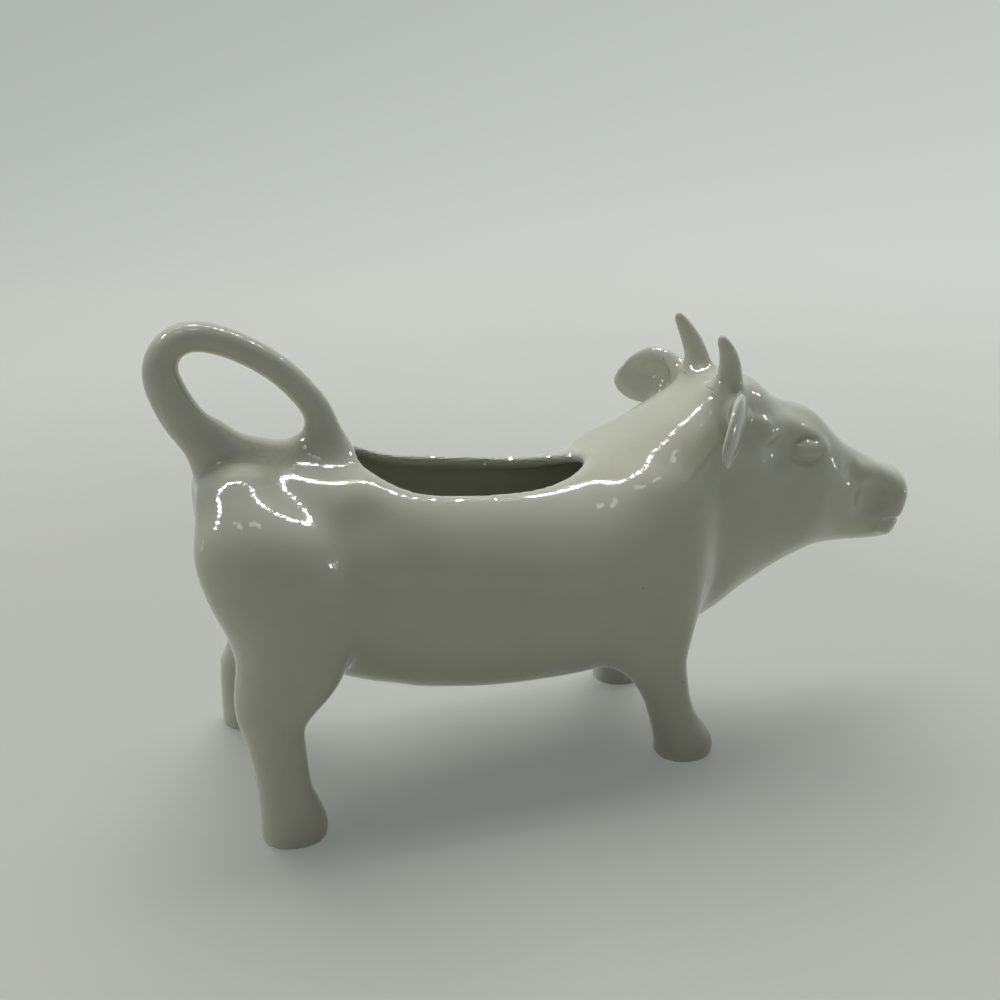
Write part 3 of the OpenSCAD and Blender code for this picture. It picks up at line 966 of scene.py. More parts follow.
NOSE_RIDGE = Pellet(((78.6, -7.9, 67.0), (82.5, -7.0, 66.1), (85.8, -6.6, 64.9), (88.8, -6.8, 63.3), (91.2, -7.3, 61.0),
                     (91.8, -7.6, 58.4)), (1.9, 2.7, 3.1, 3.1, 2.7, 1.7), 0.6, 4.0)
NOSTRIL = Press((82.3, -9.4, 58.8), (5.2, 3.2, 4.9), 1.9, 4.8, True)
MOUTH_LINE = Pellet(((87.5, -8.6, 52.4), (89.5, -7.8, 52.3), (91.8, -6.0, 52.2), (93.6, -3.3, 52.1), (94.2, 0, 52.1)),
                    (0.3, 0.5, 0.65, 0.75, 0.75), 0.1, 1.2, True, True)
LIP = Pellet(((86, -8.2, 49.6), (89.3, -6.8, 48.9), (91.8, -3.6, 48.4), (92.6, 0, 48.3)), (0.8, 1.4, 1.7, 1.7),
             0.4, 2.6, False, True)
FACE = (SOCKET, BROW, EAR_RIDGE, EYEBALL, LOWER_LID, UPPER_LID, NOSE_DIP, NOSE_RIDGE, NOSTRIL, LIP, MOUTH_LINE)


class Modeller:
    """Adds the features of the head, one after the other, to the clay."""

    def __init__(self, clay: Clay) -> None:
        """Keeps the clay."""
        self.clay = clay

    def add(self, feature: Pellet | Press) -> None:
        """Adds a feature on both sides, or once where its two sides join.

        Args:
            feature: The feature, as it lies on the right side.
        """
        if isinstance(feature, Press):
            self.press(feature)
            return
        right = self.clay.settle(feature.points, 0.0)
        slope = gradient(self.clay.outside, right, self.clay.far_probe)
        slope /= np.linalg.norm(slope, axis=1)[:, None]
        radii = np.array(feature.radii)
        depth = radii - feature.proud if not feature.cut else -feature.proud * np.ones_like(radii)
        right = np.column_stack([right - depth[:, None] * slope, radii])
        left = right * (1, -1, 1, 1)
        lines = [np.concatenate([right, left[-2::-1]])] if feature.joined else [right, left]
        for line in lines:
            self.clay.touches.append(Touch(Strand(line.tolist(), 30), feature.reach, feature.cut))
        LOG.info("feature with %d points laid on the head", len(right))

    def press(self, feature: Press) -> None:
        """Adds a rounded hollow or swelling on both sides.

        Args:
            feature: The feature, as it lies on the right side.
        """
        depth = feature.halves[1] - feature.height
        spot = self.clay.settle([feature.middle], -depth if feature.cut else depth)[0]
        slope = gradient(self.clay.outside, spot[None], self.clay.far_probe)[0]
        out = Vector(slope).normalized()
        for side in Side:
            mirror = Vector((1, -side.value, 1))
            normal = out * mirror
            along = (Vector((1, 0, 0)) - normal * normal.x).normalized()
            turn = Matrix((along, normal, along.cross(normal))).transposed()
            ball = Ball(spot * np.array(mirror), feature.halves, turn)
            self.clay.touches.append(Touch(ball, feature.reach, feature.cut))
        LOG.info("hollow or swelling pressed at %s", feature.middle)


def gradient(form: Field, points: Array, step: float = 0.3) -> Array:
    """Works out the direction in which the distance grows.

    Args:
        form: The field of distances.
        points: Rows of x, y and z, in millimetres.
        step: How far apart the distances are compared.

    Returns:
        The slope at each point.
    """
    out = np.zeros_like(points)
    for axis in range(3):
        shift = np.zeros(3)
        shift[axis] = step
        out[:, axis] = (form(points + shift) - form(points - shift)) / (2 * step)
    return out


@dataclass
class Seam:
    """Plane that parts one piece from the next."""

    co: tuple
    no: tuple
    low: tuple = (-FAR * 9,) * 3
    high: tuple = (FAR * 9,) * 3
    seed: tuple | None = None


@dataclass
class Region:
    """Box in which the clay's skin is drawn, with its fineness."""

    low: tuple
    high: tuple
    cell: float
    block = 8
    near, solid, batch, passes, probe = 1.2, 3, 400, 3, 0.15

    def quads(self, form: Field) -> tuple[Array, Array]:
        """Draws the skin of a form.

        Args:
            form: The field of distances.

        Returns:
            The corners in millimetres and the faces.
        """
        block = self.block
        low = np.array(self.low, float)
        counts = np.ceil((np.array(self.high) - low) / (self.cell * block)).astype(int)
        index = np.stack(np.meshgrid(*[np.arange(n) for n in counts], indexing="ij"), -1).reshape(-1, 3)
        span = self.cell * block
        middles = form(low + (index + 0.5) * span).reshape(tuple(counts))
        near = np.abs(middles) < span * self.near
        for axis in range(3):
            change = np.diff(np.sign(middles), axis=axis) != 0
            grow = [slice(None)] * 3
            for part in (slice(0, -1), slice(1, None)):
                grow[axis] = part
                near[tuple(grow)] |= change
        dense = np.sign(middles) * self.cell * self.solid
        for axis in range(3):
            dense = np.repeat(dense, block, axis)
        dense = dense.astype(np.float32)
        steps = np.stack(np.meshgrid(*[np.arange(block)] * 3, indexing="ij"), -1).reshape(-1, 3)
        chosen = index[near.reshape(-1)]
        for part in np.array_split(chosen, max(1, len(chosen) // self.batch)):
            voxels = (part[:, None] * block + steps[None]).reshape(-1, 3)
            dense[voxels[:, 0], voxels[:, 1], voxels[:, 2]] = form(low + voxels * self.cell)
        grid = vdb.FloatGrid(FAR)
        grid.copyFromArray(dense)
        corners, faces = grid.convertToQuads(isovalue=0.0)
        corners = low + corners.astype(float) * self.cell
        for _ in range(self.passes):
            slope = gradient(form, corners, self.probe)
            size = np.maximum((slope**2).sum(1), 1e-3)
            move = np.clip(form(corners), -self.cell, self.cell) / size
            corners -= np.clip(move[:, None] * slope, -self.cell, self.cell)
        return corners, faces.astype(int)


class Potter:
    """Draws the clay's skin, parts it at the seams and makes the pieces."""

    bend_step = 2.4
    pool_over = 0.16
    thin_from, thin_over = 0.22, 0.5
    dust_from, dust_over = 0.55, 0.3
    hollow_gap, hole_gap, hollow_top_z, sole_z = 0.9, -0.4, 66.0, 0.05

    def __init__(self, clay: Clay, finishes: Sequence[bpy.types.Material]) -> None:
        """Keeps the clay and the materials, in the order of Glazing."""
        self.clay, self.finishes = clay, finishes

    def sheet(self, region: Region) -> bmesh.types.BMesh:
        """Draws the skin inside a region.

        Args:
            region: The box and its fineness.

        Returns:
            The skin, in millimetres.
        """
        corners, faces = region.quads(self.clay)
        mesh = bpy.data.meshes.new("draft")
        mesh.from_pydata(corners.tolist(), [], faces[:, ::-1].tolist())
        bm = bmesh.new()
        bm.from_mesh(mesh)
        bpy.data.meshes.remove(mesh)
        bmesh.ops.recalc_face_normals(bm, faces=bm.faces)
        return bm

    @staticmethod
    def cut(bm: bmesh.types.BMesh, seam: Seam) -> None:
        """Cuts the skin at a seam and closes the cut.

        Args:
            bm: The skin.
            seam: The plane, the box it works in, and a point on the part to drop, or
                None where all that lies on the plane's far side is dropped.
        """
        low, high = Vector(seam.low), Vector(seam.high)
        co, no = Vector(seam.co), Vector(seam.no)
        if seam.seed is None:
            geom = bm.verts[:] + bm.edges[:] + bm.faces[:]
            bmesh.ops.bisect_plane(bm, geom=geom, dist=1e-4, plane_co=co, plane_no=no, clear_outer=True)
        else:
            verts = [v for v in bm.verts if all(low[k] < v.co[k] < high[k] for k in range(3))]
            inside = set(verts)
            edges = [e for e in bm.edges if e.verts[0] in inside and e.verts[1] in inside]
            faces = [f for f in bm.faces if all(v in inside for v in f.verts)]
            made = bmesh.ops.bisect_plane(bm, geom=verts + edges + faces, dist=1e-4, plane_co=co, plane_no=no)
            ring = {g for g in made["geom_cut"] if isinstance(g, bmesh.types.BMEdge)}
            seed = min(bm.faces, key=lambda f: (f.calc_center_median() - Vector(seam.seed)).length_squared)
            dropped, front = {seed}, [seed]
            while front:
                face = front.pop()
                for edge in face.edges:
                    if edge in ring:
                        continue
                    for other in edge.link_faces:
                        if other not in dropped:
                            dropped.add(other)
                            front.append(other)
            bmesh.ops.delete(bm, geom=list(dropped), context="FACES")
        rim = [e for e in bm.edges if e.is_boundary]
        filled = bmesh.ops.triangle_fill(bm, edges=rim, use_beauty=True, normal=no)
        for face in (g for g in filled["geom"] if isinstance(g, bmesh.types.BMFace)):
            face.smooth = False
            face.material_index = Glazing.OUTSIDE.value
            face.tag = True

    def marks(self, points: Array, normals: Array) -> dict[str, Array]:
        """Works out where glaze pools and hollows take painted shade, where it runs thin, where a dusty film lies, and
        where shade is painted inside the hollow.

        Args:
            points: Corners of a piece, in millimetres.
            normals: Their directions.

        Returns:
            Shares from 0 to 1 for "pool", "thin" and "dust".
        """
        # The deeper colour goes to concave places: real glaze pooling, and painted shade in the hollows.
        step = self.bend_step
        bend = -6 * self.clay(points)
        for axis in range(3):
            shift = np.zeros(3)
            shift[axis] = step
            bend += self.clay(points + shift) + self.clay(points - shift)
        bend /= step**2
        # Dusty film from the patches; the patch in the hollow is painted shade. Only faces that look up take it.
        dust = np.zeros(len(points))
        for patch in DUST:
            gap = (points - np.array(patch.middle)) / np.array(patch.reach)
            dust += patch.amount * np.exp(-(gap**2).sum(1))
        dust *= np.clip((normals[:, 2] - self.dust_from) / self.dust_over, 0, 1)
        return {
            "pool": np.clip(-bend / self.pool_over, 0, 1),
            "thin": np.clip((bend - self.thin_from) / self.thin_over, 0, 1),
            "dust": np.clip(dust, 0, 1),
        }

    def finish(self, bm: bmesh.types.BMesh, name: str, node: str) -> bpy.types.Object:
        """Turns a closed skin into a finished piece.

        Args:
            bm: The skin, in millimetres.
            name: Name of the piece.
            node: The node that it replaces.

        Returns:
            The piece.
        """
        bmesh.ops.recalc_face_normals(bm, faces=bm.faces)
        caps = [f.tag for f in bm.faces]
        centres = np.array([f.calc_center_median() for f in bm.faces])
        hollow = np.abs(self.clay.hollow(centres)) < self.hollow_gap
        hollow &= self.clay.hole.distance(centres) > self.hole_gap
        hollow &= centres[:, 2] < self.hollow_top_z
        sole = centres[:, 2] < self.sole_z
        # Faces of the hollow take the darker hollow glaze, part stain and part painted shade.
        for face, cap, inner, low in zip(bm.faces, caps, hollow, sole):
            face.smooth = not cap and not low
            glazing = Glazing.SOLE if low else Glazing.HOLLOW if inner and not cap else Glazing.OUTSIDE
            face.material_index = glazing.value
        mesh = bpy.data.meshes.new(name)
        bm.to_mesh(mesh)
        bm.free()
        points = read(mesh.vertices, "co", float, 3)
        normals = gradient(self.clay, points, 0.3)
        normals /= np.maximum(np.linalg.norm(normals, axis=1), 1e-6)[:, None]
        by_corner = normals[read(mesh.loops, "vertex_index", np.int32)]
        totals = read(mesh.polygons, "loop_total", np.int32)
        face_of = np.repeat(np.arange(len(totals)), totals)
        sharp = ~read(mesh.polygons, "use_smooth", bool)[face_of]
        by_corner[sharp] = read(mesh.polygons, "normal", float, 3)[face_of[sharp]]
        mesh.transform(Matrix.Scale(MM, 4))
        for finish in self.finishes:
            mesh.materials.append(finish)
        for label, values in self.marks(points, normals).items():
            mesh.attributes.new(label, "FLOAT", "POINT").data.foreach_set("value", values.astype(np.float32))
        mesh.normals_split_custom_set(by_corner)
        piece = bpy.data.objects.new(name, mesh)
        bpy.context.scene.collection.objects.link(piece)
        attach(piece, "root")
        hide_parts(node)
        LOG.info("%s: %d faces, stands for %s", name, len(mesh.polygons), node)
        return piece


@dataclass(frozen=True)
class Dust:
    """Patch where a dusty film has settled, or where shade is painted in the hollow, in millimetres."""

    middle: tuple
    reach: tuple
    amount: float


DUST = (
    Dust((56, 0, 85), (15, 5.5, 8), 2.2), Dust((84, 0, 67), (10, 4, 5), 0.5), Dust((-72, -1, 85), (12, 6, 4.5), 2.4),
    # The second patch on the next line lies on the floor of the hollow: painted shade for the dim inside, not a dusty
    # film.
    Dust((-10, 0, 76), (60, 20, 10), 0.25), Dust((-24, 0, 40), (50, 22, 16), 0.7),
)


class Wiring:
    """Short way to add and join the nodes of one tree."""

    def __init__(self, tree: bpy.types.NodeTree) -> None:
        """Keeps the tree."""
        self.tree = tree

    def add(self, kind: str, **values: object) -> bpy.types.Node:
        """Adds a node and sets its inputs by name, to a constant or to another node's output."""
        node = self.tree.nodes.new(kind)
        for label, value in values.items():
            self.feed(node.inputs[label.replace("_", " ")], value)
        return node

    def feed(self, socket: bpy.types.NodeSocket, value: object) -> None:
        """Sets a socket to a constant, or joins it to another socket."""
        if isinstance(value, bpy.types.NodeSocket):
            self.tree.links.new(value, socket)
        else:
            socket.default_value = value

    def calc(self, operation: str, first: object, second: object = 0.0) -> bpy.types.NodeSocket:
        """Adds a sum, product or the like."""
        node = self.tree.nodes.new("ShaderNodeMath")
        node.operation = operation
        self.feed(node.inputs[0], first)
        self.feed(node.inputs[1], second)
        return node.outputs[0]

    def ramp(self, value: object, low: float, high: float) -> bpy.types.NodeSocket:
        """Adds a smooth rise from 0 at low to 1 at high."""
        node = self.tree.nodes.new("ShaderNodeMapRange")
        node.interpolation_type = "SMOOTHSTEP"
        self.feed(node.inputs["Value"], value)
        node.inputs["From Min"].default_value, node.inputs["From Max"].default_value = low, high
        return node.outputs["Result"]

    def blend(self, share: object, first: object, second: object) -> bpy.types.NodeSocket:
        """Adds a mix of two colours.

        Args:
            share: How much of the second colour shows.
            first: The first colour, or the socket that gives it.
            second: The second colour, or the socket that gives it.

        Returns:
            The mixed colour.
        """
        node = self.tree.nodes.new("ShaderNodeMix")
        node.data_type = "RGBA"
        self.feed(node.inputs[0], share)
        self.feed(node.inputs[6], first)
        self.feed(node.inputs[7], second)
        return node.outputs[2]

    def mark(self, label: str) -> bpy.types.NodeSocket:
        """Adds the reading of one of the marks kept on the mesh."""
        node = self.tree.nodes.new("ShaderNodeAttribute")
        node.attribute_name = label
        return node.outputs["Fac"]

    def noise(self, scale: float, detail: float, rough: float = 0.5) -> bpy.types.NodeSocket:
        """Adds noise in the object's own coordinates, with a scale per metre."""
        place = self.tree.nodes.new("ShaderNodeTexCoord").outputs["Object"]
        return self.add("ShaderNodeTexNoise", Vector=place, Scale=scale, Detail=detail, Roughness=rough).outputs["Fac"]


class Effects:
    """Node groups that all the finishes share."""

    def __init__(self) -> None:
        """Builds the groups once."""
        self.tone, self.dirt, self.relief = self.tone_group(), self.dirt_group(), self.relief_group()

    @staticmethod
    def tone_group() -> bpy.types.NodeTree:
        """Colour of the glaze: deeper where it pools, partly as painted shade in hollows, paler where it runs thin,
        faintly cloudy.
        """
        tree = new_group("glaze_tone", "ShaderNodeTree", [
            ("Tone", "INPUT", "NodeSocketColor", (0.8, 0.8, 0.8, 1)),
            ("Pooled", "INPUT", "NodeSocketColor", (0.6, 0.6, 0.5, 1)),
            ("Thin", "INPUT", "NodeSocketColor", (0.9, 0.9, 0.85, 1)),
            ("Cloud", "INPUT", "NodeSocketFloat", 0.5),
            ("Color", "OUTPUT", "NodeSocketColor", None)])
        w, start = Wiring(tree), tree.nodes["Group Input"].outputs
        # Concave places deepen: glaze pooling and painted shade.
        pool = w.calc("MULTIPLY", w.mark("pool"), w.ramp(w.noise(70, 3), 0.1, 0.75))
        cloud = w.calc("MULTIPLY", w.ramp(w.noise(34, 4, 0.6), 0.35, 0.75), start["Cloud"])
        colour = w.blend(w.calc("MAXIMUM", pool, cloud), start["Tone"], start["Pooled"])
        colour = w.blend(w.mark("thin"), colour, start["Thin"])
        w.feed(tree.nodes["Group Output"].inputs["Color"], colour)
        return tree

    @staticmethod
    def dirt_group() -> bpy.types.NodeTree:
        """Masks of the dusty film, which in the hollow is painted shade, and of the dark specks."""
        tree = new_group("settled_dirt", "ShaderNodeTree", [
            ("Film", "INPUT", "NodeSocketFloat", 1.0), ("Specks", "INPUT", "NodeSocketFloat", 1.0),
            ("Dust", "OUTPUT", "NodeSocketFloat", None), ("Speck", "OUTPUT", "NodeSocketFloat", None)])
        w, start = Wiring(tree), tree.nodes["Group Input"].outputs
        dust = w.mark("dust")
        patches = w.ramp(w.noise(150, 6, 0.65), 0.32, 0.72)
        grains = w.ramp(w.noise(900, 4, 0.7), 0.38, 0.68)
        mottle = w.calc("ADD", w.calc("MULTIPLY", patches, 0.7), w.calc("MULTIPLY", grains, 0.3))
        film = w.calc("MULTIPLY", mottle, dust)
        w.feed(tree.nodes["Group Output"].inputs["Dust"], w.calc("MULTIPLY", film, start["Film"]))
        place = tree.nodes.new("ShaderNodeTexCoord").outputs["Object"]
        cells = w.add("ShaderNodeTexVoronoi", Vector=place, Scale=210.0)
        spot = w.calc("SUBTRACT", 1.0, w.ramp(cells.outputs["Distance"], 0.03, 0.075))
        chosen = w.tree.nodes.new("ShaderNodeSeparateColor")
        w.feed(chosen.inputs["Color"], cells.outputs["Color"])
        rare = w.calc("GREATER_THAN", w.calc("ADD", chosen.outputs["Red"], w.calc("MULTIPLY", dust, 0.3)), 0.988)
        speck = w.calc("MULTIPLY", w.calc("MULTIPLY", spot, rare), start["Specks"])
        w.feed(tree.nodes["Group Output"].inputs["Speck"], speck)
        return tree

    @staticmethod
    def relief_group() -> bpy.types.NodeTree:
        """Height of the skin: slow waves of the glaze, and the grain of bare clay."""
        tree = new_group("skin_relief", "ShaderNodeTree", [
            ("Waves", "INPUT", "NodeSocketFloat", 1.0), ("Grain", "INPUT", "NodeSocketFloat", 0.0),
            ("Height", "OUTPUT", "NodeSocketFloat", None)])
        w, start = Wiring(tree), tree.nodes["Group Input"].outputs
        waves = w.calc("ADD", w.noise(95, 2), w.calc("MULTIPLY", w.noise(420, 1), 0.12))
        grain = w.calc("MULTIPLY", w.noise(1600, 3, 0.7), start["Grain"])
        height = w.calc("ADD", w.calc("MULTIPLY", waves, start["Waves"]), grain)
        w.feed(tree.nodes["Group Output"].inputs["Height"], height)
        return tree


@dataclass(frozen=True)
class Glaze:
    """Finish of the clay: gloss glaze or bare body."""

    name: str
    tone: tuple
    # Deeper colour where glaze gathers and in cloudy patches, also used as painted shade in hollows.
    pooled: tuple
    thin: tuple
    # Colour of the dusty film, which in the hollow serves as painted shade.
    dust_tone: tuple
    roughness: float
    coat: float
    cloud: float
    film: float
    specks: float
    waves: float
    grain: float
    dust_cover: float = 0.75
    speck_tone: tuple = (0.09, 0.085, 0.07)
    dust_rough: float = 0.22
    uneven: float = 0.03
    refraction: float = 1.5
    dust_veil: float = 0.6
    coat_rough: float = 0.02
    relief_height: float = 0.0001

    def material(self, effects: Effects) -> bpy.types.Material:
        """Builds the material from the shared groups.

        Args:
            effects: The node groups.

        Returns:
            The material.
        """
        made = bpy.data.materials.new(self.name)
        made.use_nodes = True
        w = Wiring(made.node_tree)
        shader = made.node_tree.nodes["Principled BSDF"]
        tone, dirt, relief = (w.tree.nodes.new("ShaderNodeGroup") for _ in range(3))
        tone.node_tree, dirt.node_tree, relief.node_tree = effects.tone, effects.dirt, effects.relief
        for label, value in (("Tone", self.tone), ("Pooled", self.pooled), ("Thin", self.thin)):
            tone.inputs[label].default_value = (*value, 1)
        tone.inputs["Cloud"].default_value = self.cloud
        dirt.inputs["Film"].default_value, dirt.inputs["Specks"].default_value = self.film, self.specks
        relief.inputs["Waves"].default_value, relief.inputs["Grain"].default_value = self.waves, self.grain
        # The dusty film, and the painted shade in the hollow, darken the colour.
        cover = w.calc("MULTIPLY", dirt.outputs["Dust"], self.dust_cover)
        colour = w.blend(cover, tone.outputs["Color"], (*self.dust_tone, 1))
        colour = w.blend(dirt.outputs["Speck"], colour, (*self.speck_tone, 1))
        w.feed(shader.inputs["Base Color"], colour)
        rough = w.calc("ADD", w.calc("MULTIPLY", dirt.outputs["Dust"], self.dust_rough), self.roughness)
        rough = w.calc("ADD", rough, w.calc("MULTIPLY", w.ramp(w.noise(260, 4), 0.4, 0.8), self.uneven))
        w.feed(shader.inputs["Roughness"], rough)
        shader.inputs["IOR"].default_value = self.refraction
        veil = w.calc("SUBTRACT", 1.0, w.calc("MULTIPLY", dirt.outputs["Dust"], self.dust_veil))
        w.feed(shader.inputs["Coat Weight"], w.calc("MULTIPLY", veil, self.coat))
        shader.inputs["Coat Roughness"].default_value = self.coat_rough
        height = relief.outputs["Height"]
        bump = w.add("ShaderNodeBump", Strength=1.0, Distance=self.relief_height, Height=height)
        for label in ("Normal", "Coat Normal"):
            w.feed(shader.inputs[label], bump.outputs["Normal"])
        return made


@dataclass(frozen=True)
class Lamp:
    """Soft box or thin bright strip."""

    name: str
    place: tuple
    aim: tuple
    size: tuple
    radiance: float
    lights: bool = True
    mirrored: bool = True

    def hang(self) -> None:
        """Makes the lamp; its power follows from its radiance and its area."""
        data = bpy.data.lights.new(self.name, "AREA")
        data.shape, data.size, data.size_y = "RECTANGLE", *self.size
        data.energy = self.radiance * math.pi * self.size[0] * self.size[1]
        lamp = bpy.data.objects.new(self.name, data)
        lamp.location = self.place
        lamp.rotation_euler = (Vector(self.aim) - Vector(self.place)).to_track_quat("-Z", "Y").to_euler()
        lamp.visible_diffuse, lamp.visible_glossy = self.lights, self.mirrored
        lamp.visible_camera = False
        bpy.context.scene.collection.objects.link(lamp)


LAMPS = (
    Lamp("soft box", (0.0, 0.8, 1.5), (0, 0, 0.0), (1.6, 1.4), 4.6, True, False),
    Lamp("left fill", (-1.3, 0.1, 0.7), (0, 0, 0.08), (1.0, 0.9), 0.8, True, False),
    Lamp("overhead strip", (0.2, 0.24, 1.0), (0.2, 0.24, 0), (3.0, 0.032), 70, False),
    Lamp("side strip", (-1.05, 0.42, 0.14), (0, 0, 0.06), (0.016, 0.36), 26, False),
    Lamp("low strip", (1.1, -0.2, 0.05), (0, 0, 0.03), (0.014, 0.15), 22, False),
    Lamp("window", (-0.35, -0.3, 1.0), (0, 0, 0.08), (0.26, 0.1), 2.6, False),
    Lamp("second window", (0.02, -0.3, 1.0), (0, 0, 0.08), (0.2, 0.1), 2.6, False),
)


@dataclass
class Studio:
    """Pale floor, soft light and the camera."""

    eye: tuple = (-115.44, -270.47, 183.26)
    heading: float = 20.0
    pitch: float = 22.261
    roll: float = 1.967
    lens: float = 46.8
    half_floor: float = 60.0
    pale: tuple = (0.61, 0.65, 0.605, 1)
    near_tone: tuple = (0.45, 0.45, 0.405, 1)
    near_cloud: tuple = (0.42, 0.43, 0.385, 1)
    # Darker end of the backdrop's painted shade.
    far_tone: tuple = (0.42, 0.45, 0.42, 1)
    # Share of pale glow that the camera and reflections see even beside the object: painted light over the cast shadow.
    veil: float = 0.33
    clear_from: float = 0.16
    clear_to: float = 0.7

    def camera(self) -> None:
        """Makes the camera and sets it."""
        head, pitch, roll = (math.radians(a) for a in (self.heading, self.pitch, self.roll))
        forward = Vector((math.sin(head) * math.cos(pitch), math.cos(head) * math.cos(pitch), -math.sin(pitch)))
        level = Vector((math.cos(head), -math.sin(head), 0))
        rise = level.cross(forward)
        right = level * math.cos(roll) + rise * math.sin(roll)
        up = right.cross(forward)
        data = bpy.data.cameras.new("camera")
        data.lens, data.sensor_width, data.clip_start, data.clip_end = self.lens, 36.0, 0.01, 200
        camera = bpy.data.objects.new("camera", data)
        turn = Matrix((right, up, -forward)).transposed()
        camera.matrix_world = Matrix.Translation(Vector(self.eye) * MM) @ turn.to_4x4()
        bpy.context.scene.collection.objects.link(camera)
        bpy.context.scene.camera = camera

    def seen(self, w: Wiring) -> bpy.types.NodeSocket:
        """Returns 1 where the camera or a reflection looks, and 0 for light on the object."""
        rays = w.tree.nodes.new("ShaderNodeLightPath").outputs
        mirrored = w.calc("MAXIMUM", rays["Is Glossy Ray"], rays["Is Transmission Ray"])
        return w.calc("MAXIMUM", rays["Is Camera Ray"], mirrored)

    def tone(self, w: Wiring, across: bpy.types.NodeSocket) -> bpy.types.NodeSocket:
        """Returns the colour of the surroundings, which grow paler to one side: painted shade, darker towards -X and
        paler towards +X.
        """
        return w.blend(w.ramp(across, -0.2, 1.3), self.far_tone, self.pale)

    def floor(self) -> None:
        """Makes the floor, which keeps the shadow near the object, lightened to the camera by a share of painted light,
        and turns even and pale away from it.
        """
        half = self.half_floor
        mesh = bpy.data.meshes.new("floor")
        mesh.from_pydata([(-half, -half, 0), (half, -half, 0), (half, half, 0), (-half, half, 0)], [], [(0, 1, 2, 3)])
        floor = bpy.data.objects.new("floor", mesh)
        bpy.context.scene.collection.objects.link(floor)
        made = bpy.data.materials.new("pale floor")
        made.use_nodes = True
        w = Wiring(made.node_tree)
        shader, end = w.tree.nodes["Principled BSDF"], w.tree.nodes["Material Output"]
        w.feed(shader.inputs["Base Color"], w.blend(w.ramp(w.noise(9, 3), 0.3, 0.8), self.near_tone, self.near_cloud))
        shader.inputs["Roughness"].default_value = 0.55
        place = w.tree.nodes.new("ShaderNodeTexCoord").outputs["Object"]
        reach = w.tree.nodes.new("ShaderNodeVectorMath")
        reach.operation = "LENGTH"
        w.feed(reach.inputs[0], place)
        # The glow is graded as painted shade, darker towards -X, and is paler round the object as painted light.
        across = w.add("ShaderNodeSeparateXYZ", Vector=place).outputs["X"]
        across = w.calc("DIVIDE", across, w.calc("ADD", reach.outputs["Value"], 0.25))
        near = w.calc("DIVIDE", 0.5, w.calc("ADD", reach.outputs["Value"], 0.05))
        across = w.calc("ADD", across, w.calc("MULTIPLY", near, w.ramp(reach.outputs["Value"], 0.12, 0.4)))
        glow = w.add("ShaderNodeEmission", Strength=1.0, Color=self.tone(w, across))
        clear = w.ramp(reach.outputs["Value"], self.clear_from, self.clear_to)
        # Camera and mirrored rays see the glow mixed over the shaded floor: painted light that lightens the cast
        # shadow.
        share = w.calc("MULTIPLY", w.calc("ADD", w.calc("MULTIPLY", clear, 1 - self.veil), self.veil), self.seen(w))
        mix = w.tree.nodes.new("ShaderNodeMixShader")
        w.feed(mix.inputs[0], share)
        w.feed(mix.inputs[1], shader.outputs[0])
        w.feed(mix.inputs[2], glow.outputs[0])
        w.feed(end.inputs["Surface"], mix.outputs[0])
        mesh.materials.append(made)

    def room(self) -> None:
        """Makes the floor, the world and the lamps."""
        self.floor()
        world = bpy.data.worlds.new("room")
        world.use_nodes = True
        w = Wiring(world.node_tree)
        back, end = w.tree.nodes["Background"], w.tree.nodes["World Output"]
        back.inputs["Color"].default_value, back.inputs["Strength"].default_value = (0.97, 1.0, 0.95, 1), 0.17
        way = w.add("ShaderNodeSeparateXYZ", Vector=w.tree.nodes.new("ShaderNodeTexCoord").outputs["Object"])
        # The backdrop that the camera and reflections see is graded by direction: painted shade towards -X.
        pale = w.add("ShaderNodeBackground", Color=self.tone(w, way.outputs["X"]), Strength=1.0)
        mix = w.tree.nodes.new("ShaderNodeMixShader")
        w.feed(mix.inputs[0], self.seen(w))
        w.feed(mix.inputs[1], back.outputs[0])
        w.feed(mix.inputs[2], pale.outputs[0])
        w.feed(end.inputs["Surface"], mix.outputs[0])
        bpy.context.scene.world = world
        for lamp in LAMPS:
            lamp.hang()
        bpy.context.scene.view_settings.view_transform = "Standard"


def beside(side: Side, near: float, far: float) -> list[float]:
    """Returns two places on one side, the lower one first."""
    return sorted((near * side.value, far * side.value))


def part_ears(potter: Potter, skin: bmesh.types.BMesh, tip: Sequence[float]) -> None:
    """Cuts both ears off a skin.

    Args:
        potter: The potter.
        skin: The skin.
        tip: A point on the left ear, in millimetres.
    """
    for side in Side:
        low, high = beside(side, 15, 21.5)
        co, no = (0, Ear.seam_y * side.value, 0), (0, side.value, 0)
        seed = (tip[0], tip[1] * side.value, tip[2])
        potter.cut(skin, Seam(co, no, (22, low, 72), (46, high, 100), seed))


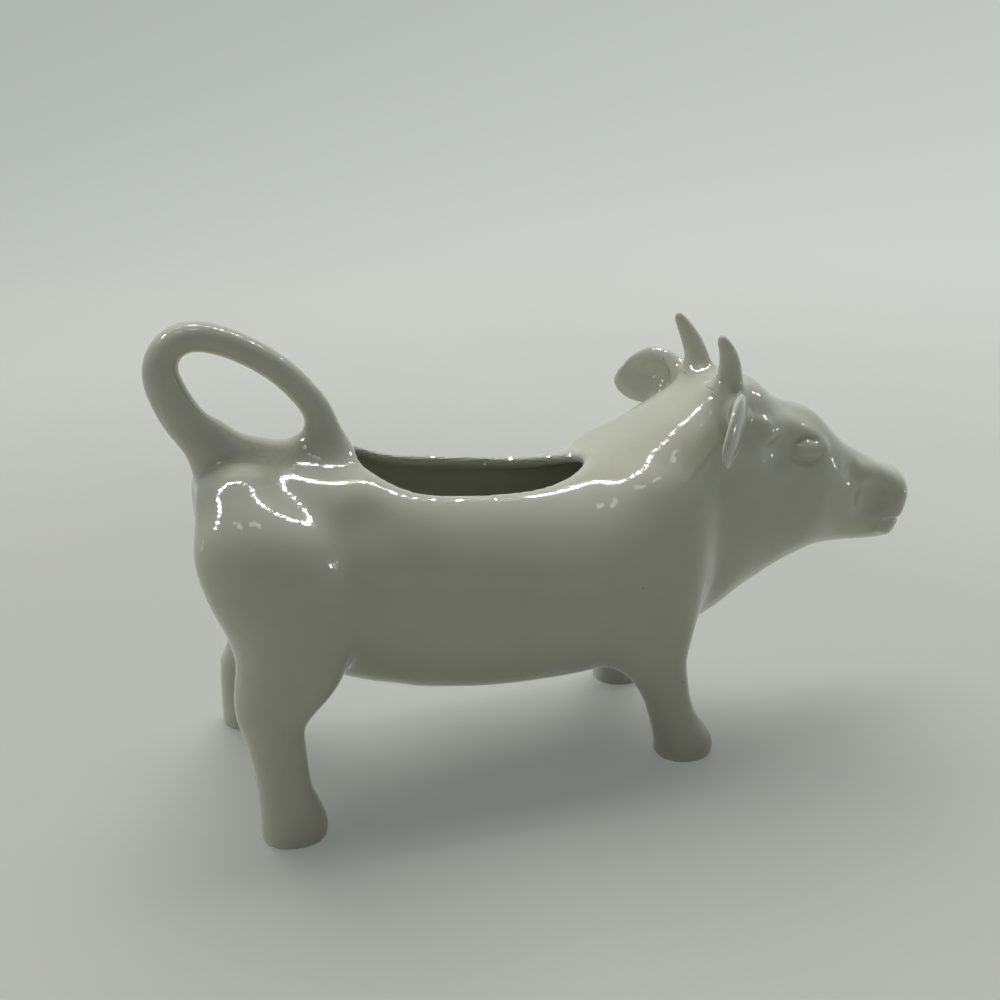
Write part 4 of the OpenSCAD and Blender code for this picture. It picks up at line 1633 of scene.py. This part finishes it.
def main() -> None:
    logging.basicConfig(level=logging.INFO, format="%(message)s")
    effects = Effects()
    glaze = Glaze("porcelain glaze", (0.50, 0.505, 0.42), (0.35, 0.35, 0.265), (0.55, 0.56, 0.49), (0.25, 0.24, 0.14),
                  0.07, 0.5, 0.25, 0.8, 1.0, 0.09, 0.0).material(effects)
    # The hollow's glaze is darker and more olive than the outside: partly a stain, partly painted shade for the dim
    # inside.
    inner = Glaze("glazed hollow", (0.41, 0.41, 0.27), (0.32, 0.32, 0.19), (0.52, 0.53, 0.44), (0.26, 0.25, 0.14),
                  0.14, 0.5, 0.5, 1.0, 0.6, 0.2, 0.0).material(effects)
    bare = Glaze("bare sole", (0.56, 0.54, 0.46), (0.46, 0.43, 0.34), (0.60, 0.58, 0.51), (0.30, 0.28, 0.21),
                 0.8, 0.0, 0.6, 1.0, 1.0, 0.0, 0.6).material(effects)
    trunk, tail, hole = Trunk(), Tail(), FillingHole()
    tubes = TubeTree()
    tail_tube = tubes.make("tail_tube", tail.path(), glaze, 220)
    horns = [Horn(side) for side in Side]
    horn_tubes = [tubes.make("horn_" + h.side.name.lower(), h.path(), glaze, 80) for h in horns]
    limbs = [rear_limb(side) for side in Side] + [front_limb(side) for side in Side]
    ears = [Ear(side) for side in Side]
    clay = Clay(trunk, tail, limbs, ears, tail_tube, horn_tubes, hole)
    modeller = Modeller(clay)
    for feature in FACE:
        modeller.add(feature)
    potter = Potter(clay, (glaze, inner, bare))
    neck, legs_z, tail_z, horn_z, ear_y = trunk.neck_x, Limb.seam_z, tail.seam_z, Horn.seam_z, Ear.seam_y

    body = potter.sheet(Region((-98, -36, 16), (37, 36, 96), 0.8))
    part_ears(potter, body, (28, 24, 87))
    potter.cut(body, Seam((neck, 0, 0), (1, 0, 0)))
    potter.cut(body, Seam((0, 0, legs_z), (0, 0, -1)))
    potter.cut(body, Seam((0, 0, tail_z), (0, 0, 1)))
    potter.finish(body, "cow_body", "body_shell")

    head = potter.sheet(Region((20, -34, 22), (100, 34, 101), 0.5))
    part_ears(potter, head, (26, 27, 86))
    potter.cut(head, Seam((0, 0, horn_z), (0, 0, 1)))
    potter.cut(head, Seam((neck, 0, 0), (-1, 0, 0)))
    potter.finish(head, "cow_head", "head_shell")

    loop = potter.sheet(Region((-101, -6, 87), (-52, 6, 117), 0.45))
    potter.cut(loop, Seam((0, 0, tail_z), (0, 0, -1)))
    potter.finish(loop, "tail_loop", "tail_handle")

    for s in Side:
        low, high = beside(s, 16, 32)
        ear = potter.sheet(Region((20, low, 72), (44, high, 99), 0.4))
        potter.cut(ear, Seam((0, ear_y * s.value, 0), (0, -s.value, 0)))
        potter.finish(ear, "ear_" + s.name.lower(), s.name.lower() + "_ear")
    for horn, tube in zip(horns, horn_tubes):
        side = horn.side.name.lower()
        low, high = beside(horn.side, 1.5, 19)
        tip = potter.sheet(Region((26, low, 93), (47, high, 108), 0.32))
        potter.cut(tip, Seam((0, 0, horn_z), (0, 0, -1)))
        potter.finish(tip, "horn_tip_" + side, side + "_horn")
        bpy.data.meshes.remove(tube)
    for limb in limbs:
        x, y = limb.middle_x, limb.side.value * limb.track / 2
        leg = potter.sheet(Region((x - 20, y - 13, -2), (x + 14, y + 13, 24), 0.5))
        potter.cut(leg, Seam((0, 0, legs_z), (0, 0, 1)))
        potter.finish(leg, limb.node.replace("_leg", "_foot"), limb.node)
    bpy.data.meshes.remove(tail_tube)

    studio = Studio()
    studio.camera()
    studio.room()


if __name__ == "__main__":
    main()
